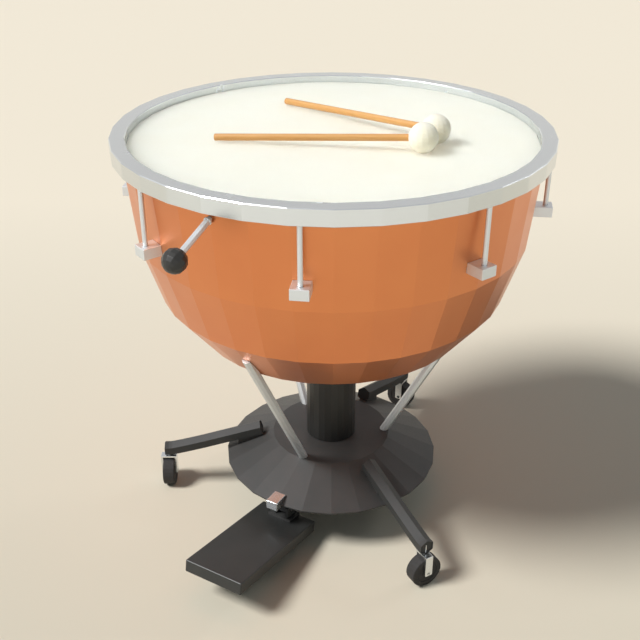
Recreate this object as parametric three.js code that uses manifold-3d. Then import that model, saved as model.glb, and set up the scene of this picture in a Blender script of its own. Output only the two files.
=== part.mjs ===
// Pedal kettledrum: a copper kettle on a wheeled base, its head drawn down by a pedal, with two mallets.
// Lengths are millimetres and +Z is up. Angle 0 is the player's side, towards -Y.
import * as THREE from "three";
import { mergeVertices } from "three/addons/utils/BufferGeometryUtils.js";
import Module from "manifold-3d";

const wasm = await Module();
wasm.setup();

// Clearances
const seatGap = 0.3; // between pieces that lie on each other
const runningGap = 0.6; // around a shaft that turns or slides
const overrun = 6; // how far a cutter passes the face that it cuts
const weld = 1e-4; // corners closer than this are one

// Sides of the turned and round pieces
const rimSides = 36;
const columnSides = 24;
const baseSides = 24;
const wheelSides = 24;
const rodSides = 12;
const strutSides = 8;
const hexSides = 6;

// Counter hoop, the chromed ring that is drawn down over the head
const hoopRadius = 395;
const hoopTop = 796;
const hoopHeight = 28;
const hoopFlangeWidth = 27.6;
const hoopFlangeThickness = 17;
const hoopWall = 14;
const hoopEdge = 1.2; // bevel along its upper edges

// Flesh hoop, on which the head is lapped
const fleshHoopWidth = 11.3;
const fleshHoopHeight = 10.2;

// Head, a film drawn over the bearing edge
const headRecess = 13; // how far the playing surface lies below the hoop's top
const filmThickness = 0.8;
const edgeInset = 10.2; // from the hoop's opening in to the bearing edge's crown
const collarTuck = 13.5; // how far the film comes down to the flesh hoop
const collarShares = [
  // turns of the collar between the crown and its end, outwards and down
  [0.37, 0.037],
  [0.64, 0.155],
  [0.81, 0.41],
  [0.89, 0.74],
];

// Bearing ring, let into the kettle's mouth
const ringWidth = 19.8;
const ringDepth = 18.3;
const ringFlange = 3;
const ringCrownWidth = 3.2;
const ringChamfer = 3.3;

// Kettle
const hoopClearance = 5; // from the kettle's mouth out to the hoop's wall
const mouthDrop = 23; // from the head down to the kettle's mouth
const bowlDepth = 440;
const bowlWall = 2.5;
const bowlRingShares = [
  // radius as a share of the mouth's radius, height as a share of the kettle's depth
  [0.962, 0.662],
  [0.8667, 0.4048],
  [0.692, 0.2193],
  [0.4343, 0.0786],
  [0.16, 0],
];

// Tension rods, and the lugs that guide them
const rodCount = 8;
const rodRadius = 4.4;
const rodInset = 8; // from the hoop's outside in to the rods
const rodSocketDepth = 12.5;
const lugDrop = 99.5; // from the hoop down to the lugs
const lugHeight = 19;
const lugWidth = 31;
const lugOverhang = 12.4; // past the rods
const lugWall = 2.8;
const pedalTravelDown = THREE.MathUtils.degToRad(13);
const pedalTravelUp = THREE.MathUtils.degToRad(6);

// Pull rods inside the kettle, from the lugs to the spider
const pullArmWidth = 15;
const pullArmLength = 44; // from the tension rod inwards
const pullRodRadius = 3.5;
const pullPinRadius = 3;
const slotMargin = 1.6;

// Spider and main pull rod
const spiderRise = 32; // above the kettle's bottom
const spiderThickness = 12;
const spiderHubRadius = 26;
const pinCircleRadius = 76;
const spiderEnd = 9; // past the pins
const spiderArmWidth = 14;
const mainRodRadius = 6;
const mainRodClearance = 10; // in the kettle, the column and the base
const mainNutOverhang = 5;
const mainNutHeight = 10;
const mainCollarOverhang = 4; // past the spring
const mainCollarThickness = 6;
const mainFootOverhang = 6;
const mainFootThickness = 6;

// Balance spring round the main rod
const springClearance = 7;
const springWireRadius = 2;
const springLengthShare = 0.56338; // of the column's hollow
const springPitch = 10;
const springSides = 5;
const springSteps = 8; // each turn

// Column
const columnRadius = 50.7;
const columnWall = 5.5;
const columnPlate = 8;

// Cast base
const baseTop = 141;
const baseHeight = 49;
const baseTopRadius = 121.8;
const baseFlare = 98.9;
const baseLip = 2.6;
const baseWall = 8;

// Struts from the base to the kettle
const strutCount = 3;
const strutRadius = 8.9;
const strutInset = 8.8; // of their feet on the base's flat top
const strutRise = 132; // of their upper ends above the kettle's bottom
const strutTail = 12;

// Legs
const legCount = 3;
const legRadius = 16;
const legSetback = 25.2; // of their inner ends from the base's flat top
const legRise = 2.5; // of their inner ends above it
const legBend = 61; // how far before the caster the leg turns level
const legSlope = THREE.MathUtils.degToRad(16.5);
const legEndMargin = 6;
const legSteps = 12;
const cradleLength = 50;
const cradleWidth = 17;

// Casters
const casterCircleRadius = 349;
const wheelRadius = 32;
const wheelWidth = 24;
const axleRadius = 4;
const forkWall = 4;
const forkWidth = 16;
const forkCrownClearance = 3.8;
const forkArmDrop = 5; // how far an arm goes past the axle
const stemRadius = 4;
const stemLength = 20;

// Pedal
const pedalWidth = 123.7;
const pedalLength = 261.4;
const pedalThickness = 25;
const pedalEdge = 1.5;
const pedalTuck = 18.8; // how far it runs under the base past its hinge
const pedalDrop = 24.6; // from the hinge down to its upper face, at that end
const pedalSlope = THREE.MathUtils.degToRad(10);

// Pedal lever, hinge and hanger
const hingeDrop = 26; // below the base's foot
const hingePinRadius = 4;
const hangerArm = 23; // from the stud in to the hinge
const hangerWidth = 22;
const hangerThickness = 12;
const hangerDrop = 8.5;
const hangerPadThickness = 8;
const earThickness = 6;
const earLength = 24;
const earTop = 8;
const leverPadWidth = 50;
const leverPadLength = 38;
const leverPadThickness = 5;
const leverArm = 60; // from the hinge in to the link
const tailWidth = 12;
const tailHeight = 12;
const leverWeb = 8;

// Clamp block on the base's edge
const blockWidth = 24.6;
const blockLength = 33;
const blockHeight = 19;
const blockRise = 16; // above the base's foot
const blockOverhang = 21; // past the stud
const blockEdge = 1;
const studRadius = 4;
const studInset = 7.7; // from the base's edge
const studCover = 3; // of the block over the stud

// Link and rocker
const linkPinRadius = 3.5;
const linkWidth = 13;
const linkThickness = 5;
const rockerRise = 8; // above the base's foot
const rockerPivotReach = 26;
const rockerThickness = 14;
const rockerWidth = 14;
const rockerBossWall = 4.8;
const rockerEnd = 8;
const rockerFootGap = 2.2;
const rockerSlotLength = 12.6;
const rockerPinRadius = 4;
const rockerEarThickness = 8;
const rockerEarWidth = 20;

// Tuning handle
const tunerDrop = 7.4; // below the kettle's mouth
const tunerLength = 88.4; // from the kettle out to the middle of the knob
const tunerFall = 34.2; // over that length
const tunerRodRadius = 5.6;
const tunerPivotRadius = 4.2; // of its end in the kettle's wall
const tunerSocketDepth = 13;
const tunerCollarRadius = 7;
const tunerCollarThickness = 3;
const tunerKnobRadius = 20;
const knobBore = 16;

// Mallets
const malletStickRadius = 6.2;
const malletStickLength = 366; // from the butt to the middle of the head
const malletHeadRadius = 26;
const malletTip = 14; // how far the stick goes past the middle of the head
const malletHeadGap = 2.12; // between the two heads
const malletAcrossShare = -0.0395; // of the first head, as a share of the hoop's opening radius
const malletSpots = [
  { alongShare: 0.4991, aside: 0, heading: THREE.MathUtils.degToRad(20) },
  {
    alongShare: 0.4954,
    aside: 2 * malletHeadRadius + malletHeadGap,
    heading: THREE.MathUtils.degToRad(-12.7),
  },
]; // aside is from the first head

// Hoop, head and kettle, from the sizes above
const hoopOpeningRadius = hoopRadius - hoopFlangeWidth;
const hoopWallRadius = hoopRadius - hoopWall;
const hoopFoot = hoopTop - hoopHeight;
const flangeFoot = hoopTop - hoopFlangeThickness;
const headTop = hoopTop - headRecess;
const crownRadius = hoopOpeningRadius - edgeInset;
const fleshOuterRadius = hoopWallRadius - seatGap;
const fleshInnerRadius = fleshOuterRadius - fleshHoopWidth;
const bowlRadius = hoopWallRadius - hoopClearance;
const bowlTop = headTop - mouthDrop;
const bowlBottom = bowlTop - bowlDepth;
const columnTop = bowlBottom - seatGap;
const columnFoot = baseTop + seatGap;
const mainHoleRadius = mainRodRadius + mainRodClearance;

// Base, legs and casters
const baseFoot = baseTop - baseHeight;
const baseFootRadius = baseTopRadius + baseFlare;
const strutFootRadius = baseTopRadius - strutInset;
const strutTop = bowlBottom + strutRise;
const legStartRadius = baseTopRadius + legSetback;
const legStartHeight = baseTop + legRise;
const legBendRadius = casterCircleRadius - legBend;
const axleHeight = wheelRadius * Math.cos(Math.PI / wheelSides);
const forkCrownFoot = axleHeight + wheelRadius + forkCrownClearance;
const forkTop = forkCrownFoot + forkWall;
const legEndHeight = forkTop + seatGap + legRadius;
const legEndRadius = casterCircleRadius + legEndMargin;

// Pedal, hinge, link and rocker
const studReach = baseFootRadius - studInset;
const hangerPadReach = studReach + studRadius;
const blockOuterReach = studReach + blockOverhang;
const blockTop = baseFoot + blockRise;
const studTop = blockTop - studCover;
const hingeReach = studReach - hangerArm;
const hingeHeight = baseFoot - hingeDrop;
const hingeBore = hingePinRadius + runningGap;
const pedalInnerReach = hingeReach - pedalTuck;
const pedalInnerHeight = hingeHeight - pedalDrop;
const linkReach = hingeReach - leverArm;
const rockerHeight = baseFoot + rockerRise;
const rockerRatio = leverArm / (linkReach - rockerPivotReach);
const frameDown = pedalTravelDown * rockerRatio * rockerPivotReach;
const frameUp = pedalTravelUp * rockerRatio * rockerPivotReach;

// Rods, lugs, spider, main rod and tuning handle
const rodCircleRadius = hoopRadius - rodInset;
const lugTop = hoopFoot - lugDrop;
const lugFoot = lugTop - lugHeight;
const lugReach = rodCircleRadius + lugOverhang;
const armFoot = lugFoot + lugWall + frameDown + runningGap;
const pullArmThickness = lugHeight - 2 * lugWall - frameDown - frameUp - 3 * runningGap;
const pullArmEnd = rodCircleRadius - pullArmLength;
const spiderHeight = bowlBottom + spiderRise;
const spiderReach = pinCircleRadius + spiderEnd;
const springRadius = mainRodRadius + springClearance + springWireRadius;
const springTop = columnTop - columnPlate;
const springFoot = springTop - springLengthShare * (springTop - columnFoot);
const mainCollarRadius = springRadius + springWireRadius + mainCollarOverhang;
const tunerWallHeight = bowlTop - tunerDrop;
const tunerKnobReach = bowlRadius + tunerLength;
const tunerKnobHeight = tunerWallHeight - tunerFall;
const tunerSlope = Math.atan(tunerFall / tunerLength);

const finishes = {
  copper: { color: 0xcc7c49, roughness: 0.45, metalness: 0.9 },
  chrome: { color: 0xd9dad8, roughness: 0.18, metalness: 1 },
  steel: { color: 0x9b9da0, roughness: 0.4, metalness: 1 },
  aluminium: { color: 0xc4c6c8, roughness: 0.5, metalness: 1 },
  film: { color: 0xfff8e6, roughness: 0.55, metalness: 0 },
  castIron: { color: 0x3f3d3c, roughness: 0.6, metalness: 0.1 },
  blackSteel: { color: 0x353433, roughness: 0.5, metalness: 0.1 },
  pedalEnamel: { color: 0x2c2b2b, roughness: 0.6, metalness: 0.1 },
  rubber: { color: 0x302f2e, roughness: 0.8, metalness: 0 },
  ballPlastic: { color: 0x2b2a2a, roughness: 0.35, metalness: 0 },
  maple: { color: 0xd49a5c, roughness: 0.5, metalness: 0 },
  felt: { color: 0xfaf5db, roughness: 0.95, metalness: 0 },
};

const drum = new THREE.Group();

// Solids, booleans and placing

function toSolid(geometry) {
  const bare = geometry.index ? geometry.toNonIndexed() : geometry.clone();
  bare.deleteAttribute("normal");
  bare.deleteAttribute("uv");
  const merged = mergeVertices(bare, weld);
  return new wasm.Manifold(
    new wasm.Mesh({
      numProp: 3,
      vertProperties: merged.attributes.position.array,
      triVerts: new Uint32Array(merged.index.array),
    }),
  );
}

function toGeometry(solid) {
  const mesh = solid.getMesh();
  const geometry = new THREE.BufferGeometry();
  geometry.setAttribute("position", new THREE.BufferAttribute(mesh.vertProperties, 3));
  geometry.setIndex(new THREE.BufferAttribute(mesh.triVerts, 1));
  const flat = geometry.toNonIndexed();
  flat.computeVertexNormals();
  return flat;
}

const join = (...geometries) => toGeometry(geometries.map(toSolid).reduce((a, b) => a.add(b)));
const cut = (geometry, ...cutters) =>
  toGeometry(cutters.map(toSolid).reduce((a, b) => a.subtract(b), toSolid(geometry)));

function place(name, geometry, finish, angle = 0, parent = drum) {
  const mesh = new THREE.Mesh(geometry, new THREE.MeshStandardMaterial(finishes[finish]));
  mesh.name = name;
  mesh.rotation.z = angle;
  parent.add(mesh);
  return mesh;
}

// A closed outline of [radius, height] points turned round the drum's axis, with a corner at angle 0.
function turned(outline, sides) {
  const area = outline.reduce((sum, [r, z], i) => {
    const [r2, z2] = outline[(i + 1) % outline.length];
    return sum + r * z2 - r2 * z;
  }, 0);
  const points = (area > 0 ? outline : [...outline].reverse()).map(([r, z]) => new THREE.Vector2(r, z));
  if (points.some((p) => p.x > 0) && !points.some((p) => p.x === 0)) points.push(points[0].clone());
  else while (points[0].x > 0 || points[points.length - 1].x > 0) points.push(points.shift());
  return new THREE.LatheGeometry(points, sides).rotateX(Math.PI / 2);
}

// An open line of [radius, height] points moved sideways, to its left where the distance is positive.
function offsetLine(line, distance) {
  const normals = line.slice(1).map(([r, z], i) => {
    const [r0, z0] = line[i];
    const length = Math.hypot(r - r0, z - z0);
    return [-(z - z0) / length, (r - r0) / length];
  });
  return line.map(([r, z], i) => {
    const a = normals[Math.max(i - 1, 0)];
    const b = normals[Math.min(i, normals.length - 1)];
    const scale = distance / (1 + a[0] * b[0] + a[1] * b[1]);
    return [r + (a[0] + b[0]) * scale, z + (a[1] + b[1]) * scale];
  });
}

// Where a line of [radius, height] points crosses a height.
function radiusAt(line, height) {
  const i = line.findIndex(([, z]) => z <= height);
  const [[r1, z1], [r2, z2]] = [line[i - 1], line[i]];
  return r1 + ((height - z1) / (z2 - z1)) * (r2 - r1);
}

const upright = (radius, foot, top, sides) =>
  new THREE.CylinderGeometry(radius, radius, top - foot, sides)
    .rotateX(Math.PI / 2)
    .translate(0, 0, (foot + top) / 2);

// A round bar between two points of the plane at angle 0, each given as [reach, height].
function bar(from, to, radius, sides) {
  const length = Math.hypot(to[0] - from[0], to[1] - from[1]);
  const tilt = Math.atan2(to[1] - from[1], to[0] - from[0]);
  return new THREE.CylinderGeometry(radius, radius, length, sides)
    .rotateY(Math.PI / sides)
    .rotateX(-tilt)
    .translate(0, -(from[0] + to[0]) / 2, (from[1] + to[1]) / 2);
}

// A cross bar along X through a point of that plane.
const crossPin = (reach, height, radius, half, sides = rodSides) =>
  new THREE.CylinderGeometry(radius, radius, 2 * half, sides)
    .rotateZ(Math.PI / 2)
    .translate(0, -reach, height);

// A block between two reaches and two heights, with its middle on that plane.
const block = (inner, outer, foot, top, width, side = 0) =>
  new THREE.BoxGeometry(width, outer - inner, top - foot)
    .translate(side, -(inner + outer) / 2, (foot + top) / 2);

// A slab standing on the plane at angle 0, with corners given as [reach, height].
function slab(corners, width) {
  const outline = new THREE.Shape(corners.map(([reach, height]) => new THREE.Vector2(reach, height)));
  return new THREE.ExtrudeGeometry(outline, { depth: width, bevelEnabled: false })
    .translate(0, 0, -width / 2)
    .rotateX(Math.PI / 2)
    .rotateZ(-Math.PI / 2);
}

// A plate whose edges are bevelled, lying with its middle at the origin.
function bevelledPlate(width, length, thickness, edge) {
  const outline = new THREE.Shape();
  const [w, l] = [width / 2 - edge, length / 2 - edge];
  outline.moveTo(-w, -l).lineTo(w, -l).lineTo(w, l).lineTo(-w, l).closePath();
  return new THREE.ExtrudeGeometry(outline, {
    depth: thickness - 2 * edge,
    bevelThickness: edge,
    bevelSize: edge,
    bevelSegments: 1,
  }).translate(0, 0, edge - thickness / 2);
}

// Kettle, bearing ring and head

const bowlLine = [
  [bowlRadius, bowlTop],
  ...bowlRingShares.map(([r, z]) => [r * bowlRadius, bowlBottom + z * (bowlTop - bowlBottom)]),
];
const bowlOutside = turned(
  [[0, bowlTop], ...offsetLine(bowlLine, seatGap), [0, bowlBottom - seatGap]],
  rimSides,
);
const rodAngles = Array.from({ length: rodCount }, (_, i) => (2 * Math.PI * (i + 0.5)) / rodCount);
const tunerAt = (reach) => [reach, tunerWallHeight - (reach - bowlRadius) * Math.tan(tunerSlope)];
const tunerSocket = () =>
  bar(
    tunerAt(bowlRadius - tunerSocketDepth),
    tunerAt(bowlRadius + overrun),
    tunerPivotRadius + runningGap,
    rodSides,
  );

function makeBowl() {
  const inner = offsetLine(bowlLine, -bowlWall).reverse();
  const hole = [[mainHoleRadius, bowlBottom], [mainHoleRadius, bowlBottom + bowlWall]];
  const outline = [...bowlLine, ...hole, ...inner];
  outline[outline.length - 1] = [bowlRadius - bowlWall, bowlTop];
  const slots = rodAngles.map((angle) =>
    block(
      pullArmEnd,
      lugReach,
      armFoot - frameDown - runningGap,
      armFoot + pullArmThickness + frameUp + runningGap,
      pullArmWidth + 2 * slotMargin,
    ).rotateZ(angle),
  );
  place("kettle_bowl", cut(turned(outline, rimSides), tunerSocket(), ...slots), "copper");
}

function makeBearingRing() {
  const lining = offsetLine(bowlLine, -bowlWall - seatGap);
  const foot = bowlTop - ringDepth;
  const outer = radiusAt(lining, foot);
  const crown = headTop - filmThickness - seatGap;
  const shoulder = bowlTop + seatGap;
  const outline = [
    [outer, foot],
    [bowlRadius - bowlWall - seatGap, bowlTop],
    [bowlRadius - bowlWall - seatGap, shoulder],
    [bowlRadius, shoulder],
    [bowlRadius, shoulder + ringFlange],
    [crownRadius + ringChamfer / 2, shoulder + ringFlange],
    [crownRadius + ringChamfer / 2, crown - ringChamfer],
    [crownRadius, crown],
    [crownRadius - ringCrownWidth / 2, crown],
    [crownRadius - ringCrownWidth, crown - ringChamfer],
    [outer - ringWidth, foot],
  ];
  place("bearing_ring", cut(turned(outline, rimSides), tunerSocket()), "aluminium");
}

function makeHead() {
  const end = [fleshInnerRadius - seatGap - filmThickness / 2, headTop - collarTuck];
  const collar = collarShares.map(([r, z]) => [
    crownRadius + r * (end[0] - crownRadius),
    headTop + z * (end[1] - headTop),
  ]);
  const upper = [[crownRadius + seatGap, headTop], ...collar, end];
  const lower = offsetLine(upper, -filmThickness).reverse();
  const outline = [[0, headTop], ...upper, ...lower, [0, headTop - filmThickness]];
  place("drum_head", turned(outline, rimSides), "film");
}

// Tension frame: counter hoop, flesh hoop, rods, pull rods, spider and main rod

function makeHoops() {
  const hoop = turned(
    [
      [hoopWallRadius, hoopFoot],
      [hoopRadius, hoopFoot],
      [hoopRadius, hoopTop - hoopEdge],
      [hoopRadius - hoopEdge, hoopTop],
      [hoopOpeningRadius + hoopEdge, hoopTop],
      [hoopOpeningRadius, hoopTop - hoopEdge],
      [hoopOpeningRadius, flangeFoot],
      [hoopWallRadius, flangeFoot],
    ],
    rimSides,
  );
  const sockets = rodAngles.map((angle) =>
    upright(rodRadius + runningGap, hoopFoot - overrun, hoopFoot + rodSocketDepth, rodSides)
      .translate(0, -rodCircleRadius, 0)
      .rotateZ(angle),
  );
  place("counter_hoop", cut(hoop, ...sockets), "chrome");
  const top = flangeFoot - seatGap;
  const foot = top - fleshHoopHeight;
  const [inner, outer] = [fleshInnerRadius, fleshOuterRadius];
  const section = [[inner, foot], [outer, foot], [outer, top], [inner, top]];
  place("flesh_hoop", turned(section, rimSides), "aluminium");
}

function makeTensioning(angle, number) {
  const rodFoot = armFoot + seatGap;
  const atRod = (radius, foot, top) => upright(radius, foot, top, rodSides).translate(0, -rodCircleRadius, 0);
  const rod = atRod(rodRadius, rodFoot, hoopFoot + rodSocketDepth - seatGap);
  place(`tension_rod_${number}`, rod, "chrome", angle);

  const hollow = block(
    pullArmEnd,
    lugReach - lugWall,
    lugFoot + lugWall,
    lugTop - lugWall,
    lugWidth - 2 * lugWall,
  );
  const body = block(pullArmEnd, lugReach, lugFoot, lugTop, lugWidth);
  const back = bowlOutside.clone().rotateZ(-angle);
  const bore = atRod(rodRadius + runningGap, lugTop - lugWall - overrun / 2, lugTop + overrun);
  place(`lug_${number}`, cut(body, back, hollow, bore), "chrome", angle);

  const armTop = armFoot + pullArmThickness;
  const arm = block(pullArmEnd, lugReach - lugWall - runningGap, armFoot, armTop, pullArmWidth);
  const armMiddle = (armFoot + armTop) / 2;
  const pinTop = spiderHeight + spiderThickness + 2 * pullRodRadius;
  const [low, high] = [[pinCircleRadius, pinTop], [pullArmEnd + pullRodRadius, armMiddle]];
  const slant = bar(low, high, pullRodRadius, strutSides);
  const pin = upright(pullPinRadius, spiderHeight - seatGap, pinTop, rodSides);
  pin.translate(0, -pinCircleRadius, 0);
  const eye = atRod(rodRadius + runningGap, armFoot - overrun, armTop + overrun);
  const knuckle = new THREE.SphereGeometry(pullRodRadius + seatGap, rodSides, strutSides);
  knuckle.rotateX(Math.PI / 2).translate(0, -pinCircleRadius, pinTop);
  place(`pull_rod_${number}`, cut(join(arm, slant, pin, knuckle), eye), "steel", angle);
}

function makeSpiderAndMainRod() {
  const top = spiderHeight + spiderThickness;
  const arms = rodAngles
    .slice(0, rodCount / 2)
    .map((angle) => block(-spiderReach, spiderReach, spiderHeight, top, spiderArmWidth).rotateZ(angle));
  const holes = rodAngles.map((angle) =>
    upright(pullPinRadius + runningGap, spiderHeight - overrun, top + overrun, rodSides)
      .translate(0, -pinCircleRadius, 0)
      .rotateZ(angle),
  );
  const hub = upright(spiderHubRadius, spiderHeight, top, columnSides);
  const bore = upright(mainRodRadius + runningGap, spiderHeight - overrun, top + overrun, columnSides);
  place("spider", cut(join(hub, ...arms), bore, ...holes), "castIron");

  const nutFoot = top + seatGap;
  const footTop = rockerHeight - rockerThickness / 2 - rockerFootGap;
  const pieces = [
    upright(mainRodRadius, footTop - mainFootThickness, nutFoot + mainNutHeight, columnSides),
    upright(mainRodRadius + mainNutOverhang, nutFoot, nutFoot + mainNutHeight, hexSides),
    upright(mainCollarRadius, springFoot - mainCollarThickness, springFoot, columnSides),
    upright(mainRodRadius + mainFootOverhang, footTop - mainFootThickness, footTop, columnSides),
  ];
  place("main_pull_rod", join(...pieces), "steel");
}

class Helix extends THREE.Curve {
  constructor(radius, foot, top, turns) {
    super();
    Object.assign(this, { radius, foot, top, turns });
  }
  getPoint(t) {
    const turn = 2 * Math.PI * this.turns * t;
    const height = this.foot + t * (this.top - this.foot);
    return new THREE.Vector3(this.radius * Math.sin(turn), -this.radius * Math.cos(turn), height);
  }
}

function makeSpring() {
  const top = springTop - springWireRadius - 2 * seatGap;
  const foot = springFoot + springWireRadius + 2 * seatGap;
  const turns = Math.round((top - foot) / springPitch);
  const wire = new THREE.Shape();
  for (let i = 0; i < springSides; i++) {
    const turn = (2 * Math.PI * i) / springSides;
    wire[i ? "lineTo" : "moveTo"](springWireRadius * Math.cos(turn), springWireRadius * Math.sin(turn));
  }
  wire.closePath();
  const path = new Helix(springRadius, foot, top, turns);
  const coil = new THREE.ExtrudeGeometry(wire, {
    steps: turns * springSteps,
    extrudePath: path,
    bevelEnabled: false,
  });
  const points = path.getSpacedPoints(turns * springSteps);
  const spans = points.slice(springSteps).map((point, i) => point.distanceTo(points[i]));
  const least = Math.min(...spans) - 2 * springWireRadius;
  console.log(`least gap between the spring's turns: ${least.toFixed(2)} mm`);
  place("balance_spring", coil, "steel");
}

// Column, cast base and struts

const baseSlope = Math.atan((baseTop - baseFoot - baseLip) / (baseFootRadius - baseTopRadius));
const baseLine = [
  [0, baseTop],
  [baseTopRadius, baseTop],
  [baseFootRadius, baseFoot + baseLip],
  [baseFootRadius, baseFoot - blockHeight],
];
const baseOutside = turned(
  [...offsetLine(baseLine, seatGap), [0, baseFoot - blockHeight]].map(([r, z], i) => [i ? r : 0, z]),
  baseSides,
);

function makeColumn() {
  const outline = [
    [columnRadius, columnFoot],
    [columnRadius, columnTop],
    [mainHoleRadius, columnTop],
    [mainHoleRadius, columnTop - columnPlate],
    [columnRadius - columnWall, columnTop - columnPlate],
    [columnRadius - columnWall, columnFoot],
  ];
  place("column", turned(outline, columnSides), "blackSteel");
}

const legAt = (reach) => [reach, legStartHeight - (reach - legStartRadius) * Math.tan(legSlope)];
const legPath = new THREE.CatmullRomCurve3(
  [
    legAt(legStartRadius),
    legAt((legStartRadius + legBendRadius) / 2),
    legAt(legBendRadius),
    [casterCircleRadius - stemRadius, legEndHeight],
    [legEndRadius, legEndHeight],
  ].map(([reach, height]) => new THREE.Vector3(0, -reach, height)),
);

function legTube(radius) {
  const section = new THREE.Shape();
  for (let i = 0; i < hexSides; i++) {
    const turn = (2 * Math.PI * i) / hexSides;
    section[i ? "lineTo" : "moveTo"](radius * Math.sin(turn), radius * Math.cos(turn));
  }
  section.closePath();
  return new THREE.ExtrudeGeometry(section, { steps: legSteps, extrudePath: legPath, bevelEnabled: false });
}

const legAngles = Array.from({ length: legCount }, (_, i) => (2 * Math.PI * (i + 0.5)) / legCount);
const strutAngles = Array.from({ length: strutCount }, (_, i) => (2 * Math.PI * i) / strutCount);

function makeBase() {
  const drop = baseWall / Math.cos(baseSlope);
  const innerTopRadius = baseTopRadius - baseWall / 2;
  const innerFootRadius = baseFootRadius - (drop + baseLip) / Math.tan(baseSlope) + baseLip;
  const shell = turned(
    [
      [mainHoleRadius, baseTop - baseWall],
      [innerTopRadius, baseTop - baseWall],
      [innerFootRadius, baseFoot],
      [baseFootRadius, baseFoot],
      [baseFootRadius, baseFoot + baseLip],
      [baseTopRadius, baseTop],
      [mainHoleRadius, baseTop],
    ],
    baseSides,
  );
  const cradles = legAngles.map((angle) => {
    const ends = [legStartRadius, legStartRadius + cradleLength];
    const padAt = (reach) => legAt(reach)[1] - legRadius / 2;
    const coneAt = (reach) => baseTop - (reach - baseTopRadius) * Math.tan(baseSlope) - baseWall / 2;
    const side = [
      [ends[0], coneAt(ends[0])],
      [ends[1], coneAt(ends[1])],
      [ends[1], padAt(ends[1])],
      [ends[0], padAt(ends[0])],
    ];
    return cut(slab(side, cradleWidth), legTube(legRadius + seatGap)).rotateZ(angle);
  });
  const side = (rockerWidth + rockerEarThickness) / 2 + runningGap;
  const ears = [-side, side].map((x) =>
    block(
      rockerPivotReach - rockerEarWidth / 2,
      rockerPivotReach + rockerEarWidth / 2,
      rockerHeight - rockerThickness / 2,
      baseTop - baseWall / 2,
      rockerEarThickness,
      x,
    ),
  );
  const pinHole = crossPin(rockerPivotReach, rockerHeight, rockerPinRadius + runningGap, columnRadius);
  const studHole = upright(studRadius + runningGap, baseFoot - overrun, blockTop, rodSides);
  const legSeats = legAngles.map((angle) => legTube(legRadius + seatGap).rotateZ(angle));
  const body = join(shell, ...cradles, ...ears);
  place("base_casting", cut(body, pinHole, studHole.translate(0, -studReach, 0), ...legSeats), "castIron");
}

function makeStrut(angle, number) {
  const reach = radiusAt(bowlLine, strutTop);
  const slope = (strutTop - baseTop) / (reach - strutFootRadius);
  const below = [strutFootRadius - strutTail / slope, baseTop - strutTail];
  const above = [reach + strutTail / slope, strutTop + strutTail];
  const rod = bar(below, above, strutRadius, strutSides);
  place(
    `strut_${number}`,
    cut(rod, bowlOutside.clone().rotateZ(-angle), baseOutside.clone().rotateZ(-angle)),
    "chrome",
    angle,
  );
}

// Legs and casters

function makeLeg(angle, number) {
  const socket = upright(stemRadius + seatGap, forkTop - overrun, forkTop + stemLength + seatGap, rodSides);
  const leg = cut(legTube(legRadius), socket.translate(0, -casterCircleRadius, 0));
  place(`leg_${number}`, leg, "blackSteel", angle);
}

function makeCaster(angle, number) {
  const half = wheelWidth / 2 + runningGap + forkWall;
  const [inner, outer] = [casterCircleRadius - half, casterCircleRadius + half];
  const armFootHeight = axleHeight - forkArmDrop;
  const fork = join(
    block(inner, outer, forkCrownFoot, forkTop, forkWidth),
    block(inner, inner + forkWall, armFootHeight, forkTop, forkWidth),
    block(outer - forkWall, outer, armFootHeight, forkTop, forkWidth),
    bar([inner + forkWall / 2, axleHeight], [outer - forkWall / 2, axleHeight], axleRadius, rodSides),
    upright(stemRadius, forkCrownFoot + forkWall / 2, forkTop + stemLength, rodSides)
      .translate(0, -casterCircleRadius, 0),
  );
  place(`caster_fork_${number}`, fork, "chrome", angle);

  const tread = bar(
    [casterCircleRadius - wheelWidth / 2, axleHeight],
    [casterCircleRadius + wheelWidth / 2, axleHeight],
    wheelRadius,
    wheelSides,
  );
  const bore = bar([inner, axleHeight], [outer, axleHeight], axleRadius + seatGap * 2, wheelSides);
  place(`caster_wheel_${number}`, cut(tread, bore), "rubber", angle);
}

// Pedal, its lever and hinge

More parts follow.
